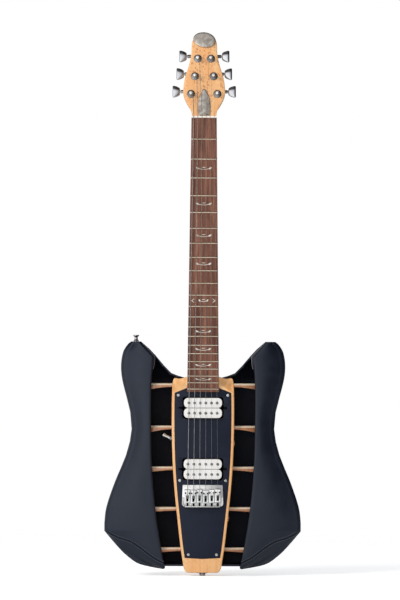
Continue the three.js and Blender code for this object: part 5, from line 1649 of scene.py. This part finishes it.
# %% Cap and cover
cap_turn = math.radians(-8)
cap_outline = ellipse(19.35, 13.15, (0, 133), 72, cap_turn)
cap_rows = [(-4.3, 8), (-4.25, 4), (-4.1, 1.6), (-3.8, 0.6), (-3.3, 0.15), (-2.8, 0), (-0.3, 0)]
cap_solids = [closed(stacked(cap_outline, cap_rows))]
piece("tip_cap", placed_in_head(cap_solids), pewter, replaces=["headstock_cap"])

cover_arch = [(0, 8.9), (6, 9.9), (14, 10.4), (24, 9.9), (34, 7.8), (43.5, 3.4)]
cover_point_z, cover_point_half = cover_arch[-1]


def cover_outline():
    """An arch: straight at the nut, swelling a little, then drawn in to a rounded point."""
    z = np.linspace(0.6, cover_point_z, 30)
    side = np.stack([smooth_curve(cover_arch, z), z], 1)[::-1]
    turn = quarter(6)[:-1]
    point = np.stack([cover_point_half * np.sin(turn), cover_point_z + 3.5 * np.cos(turn)], 1)
    foot = np.array([[8.6, 0.15], [6.5, 0.15], [5.6, 2.2], [3.2, 4.2], [0, 4.9]])
    right = np.concatenate([point, side, foot])
    return np.concatenate([right, mirrored(right[1:-1])])


cover_solids = closed(stacked(cover_outline(), [(-2.5, 0.9), (-2.4, 0.4), (-2.1, 0.1), (-1.7, 0), (-0.3, 0)]))
piece("rod_cover", placed_in_head([cover_solids]), pewter, replaces=["truss_rod_cover"])
print("cap and cover points:", len(cap_solids[0][0]), len(cover_solids[0]))

# %% Strap buttons and jack
strap_radius = 5.3
strap_shares = [(0.9, 0), (0.93, 0.05), (0.88, 0.11), (0.68, 0.2), (0.57, 0.34), (0.55, 0.5), (0.6, 0.64),
                (0.76, 0.76), (0.95, 0.83), (1, 0.88), (1, 0.95), (0.94, 0.99), (0.82, 1.0)]


def strap_solids(height, at, axis):
    """A waisted button: radius and rise are shares of its size; its screw runs back into the wood."""
    screw_end = np.asarray(at, float) - np.asarray(axis, float) * 12
    return [turned([(out * strap_radius, up * height) for out, up in strap_shares], at, axis, 40),
            bar(1.6, 12.5, screw_end, axis, 16)]


piece("horn_button", strap_solids(11, (-0.684 * body_half, 27, body_top + 0.3), (0, 0, 1)), chrome,
      replaces=["horn_strap_button"])
piece("tail_button", strap_solids(5.2, (0, 11, spine_end - 0.3), (0, 0, -1)), chrome,
      replaces=["end_strap_button"])

merged_copy("jack_socket", "output_jack", chrome)
print("strap button radius:", strap_radius, "mm")

# %% Switch and lever
switch_z, switch_y = -551.365, 13.0
lever_rest = math.radians(27)
switch_box_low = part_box("selector_switch")[0]
lever_profile = [(0.5, -2.55), (1.6, -2.0), (2.4, -1.0), (2.6, 0), (2.6, 1.0), (2.5, 2.0), (2.4, 3.0), (2.4, 6.5),
                 (2.6, 8.5), (2.9, 11.4), (3.3, 13.4), (3.4, 14.3), (3.2, 14.9), (2.5, 15.3), (1.2, 15.4)]
pivot = (switch_box_low[0] * 1000 + 2, switch_y, switch_z)
aim = (-math.cos(lever_rest), 0, math.sin(lever_rest))
merged_copy("switch_case", "selector_switch", satin_chrome)
lever = [turned(lever_profile, pivot, aim, 32)]
piece("switch_lever", lever, satin_chrome, body="selector_lever", replaces=["selector_lever"])
print("switch pivot", [round(v, 2) for v in pivot])


# %% Thumbwheels
wheel_radius, wheel_front, wheel_back = 11.6, 12.4, 17.4
scallops, scallop_depth = 15, 0.4


def wheel_solids(x, z):
    """A disc whose rim is scalloped by a cosine of fifteen waves, with soft edges, on a short shaft."""
    angle = np.linspace(0, 2 * math.pi, 10 * scallops, endpoint=False)
    radius = wheel_radius - scallop_depth * (1 - np.cos(scallops * angle))
    outline = np.stack([radius * np.cos(angle), radius * np.sin(angle)], 1) + (x, z)
    return [closed(stacked(outline, soft_edges(wheel_front, wheel_back, 0.7))), bar(2, 8, (x, 5.5, z), (0, 1, 0), 20)]


for name, (x, z) in wheel_places.items():
    piece(name + "_disc", wheel_solids(x, z), wheel_wood, body=name, replaces=[name])
print("thumbwheels:", list(wheel_places))

# %% [markdown]
# ## The studio
#
# A white table and a white wall, lit softly from the upper left. The wall is the world itself, and the camera
# sees it pure white. Polished metal under a plain white sky would look flat. It therefore mirrors a graded room
# instead, bright near the table and on the left and dark above, which gives chrome its dark upper side. The lamps
# light everything and are mirrored by nothing. The table fades out with distance so that no horizon shows.

# %% The world
ambient_level = 0.5


def make_world():
    """White for the camera. What shines sees a room instead: white on the left and near the table, grey on
    the right and behind, and nearly black above. Matte surfaces get an even light."""
    world = bpy.data.worlds.new("studio")
    bpy.context.scene.world = world
    world.use_nodes = True
    tree = world.node_tree
    output = tree.nodes["World Output"]
    direction = add(tree, "ShaderNodeTexCoord").outputs["Generated"]
    right, back, up = add(tree, "ShaderNodeSeparateXYZ", {"Vector": direction}).outputs
    room = add(tree, "ShaderNodeBackground", {"Color": (0.93, 0.96, 1, 1), "Strength": ambient_level})
    rays = add(tree, "ShaderNodeLightPath").outputs
    dark_above = between(tree, up, 0.38, 0.53, 1.0, 0.07)
    bright_left = between(tree, right, -0.05, 0.3, 1.5, 0.08)
    grey_behind = between(tree, back, 0.2, 0.8, 1.0, 0.4)
    soft_far_left = between(tree, right, -0.95, -0.5, 0.5, 1.0)
    level = maths(tree, "MULTIPLY", maths(tree, "MULTIPLY", dark_above, bright_left), grey_behind)
    level = maths(tree, "MULTIPLY", level, soft_far_left)
    wall_level = maths(tree, "MAXIMUM", level, rays["Is Camera Ray"])
    white = add(tree, "ShaderNodeBackground", {"Color": (1, 1, 1, 1), "Strength": wall_level})
    mirrored_or_clear = maths(tree, "MAXIMUM", rays["Is Glossy Ray"], rays["Is Transmission Ray"])
    seen = maths(tree, "MAXIMUM", rays["Is Camera Ray"], mirrored_or_clear)
    shown = add(tree, "ShaderNodeMixShader", {0: seen, 1: room.outputs[0], 2: white.outputs[0]})
    tree.links.new(shown.outputs[0], output.inputs["Surface"])


make_world()
print("light for matte surfaces:", ambient_level)


# %% The table
floor_glow, floor_radius, floor_clear_radius = 0.47, 1.6, 0.35


def make_floor(height, radius, clear_radius):
    """A round white table under the guitar that turns clear towards its rim."""
    rim = ellipse(radius, radius, (0, 0), 96)
    points = np.stack([rim[:, 0], rim[:, 1], np.full(len(rim), height)], 1)
    mesh = bpy.data.meshes.new("floor")
    mesh.from_pydata(points.tolist(), [], [list(range(len(rim)))])
    floor = bpy.data.objects.new("floor", mesh)
    bpy.context.scene.collection.objects.link(floor)
    material, tree, shader, place = new_material("table")
    plain(shader, Base_Color=(0.9, 0.9, 0.9, 1), Roughness=0.9, Specular_IOR_Level=0.0)
    glow = add(tree, "ShaderNodeEmission", {"Color": (1, 1, 1, 1), "Strength": floor_glow})
    lit = add(tree, "ShaderNodeAddShader", {0: shader.outputs[0], 1: glow.outputs[0]})
    seen = add(tree, "ShaderNodeLightPath").outputs["Is Camera Ray"]
    table = add(tree, "ShaderNodeMixShader", {0: seen, 1: shader.outputs[0], 2: lit.outputs[0]})
    flat = stretched(tree, place, (1, 1, 0))
    far = add(tree, "ShaderNodeVectorMath", {0: flat}, operation="LENGTH").outputs["Value"]
    fade = between(tree, far, clear_radius, radius)
    clear = add(tree, "ShaderNodeBsdfTransparent")
    shown = add(tree, "ShaderNodeMixShader", {0: fade, 1: table.outputs[0], 2: clear.outputs[0]})
    tree.links.new(shown.outputs[0], tree.nodes["Material Output"].inputs["Surface"])
    mesh.materials.append(material)


table_height = frame_bounds[0].z
make_floor(table_height, floor_radius, floor_clear_radius)
print("table at", round(table_height, 4), "m")


# %% Lamps and colour view
body_centre = (0, 0, -0.55)


def make_lamp(name, place, aim, size, watts):
    """A square soft box at a place, turned towards a point. Metal mirrors the room and not the box, as under
    a light tent, so that polished parts keep their shading."""
    data = bpy.data.lights.new(name, "AREA")
    data.size = size
    data.energy = watts
    lamp = bpy.data.objects.new(name, data)
    lamp.visible_glossy = False
    lamp.location = place
    lamp.rotation_euler = (Vector(aim) - Vector(place)).to_track_quat("-Z", "Y").to_euler()
    bpy.context.scene.collection.objects.link(lamp)


make_lamp("key", (-1.6, -1.5, 0.9), (0, 0, -0.4), size=0.9, watts=33)
make_lamp("front", (-0.8, -2.6, -0.5), body_centre, size=0.9, watts=7)
make_lamp("fill", (1.9, -1.2, 0.2), body_centre, size=1.0, watts=3)
bpy.context.scene.view_settings.view_transform = "Standard"
print("lamps:", len(bpy.data.lights))
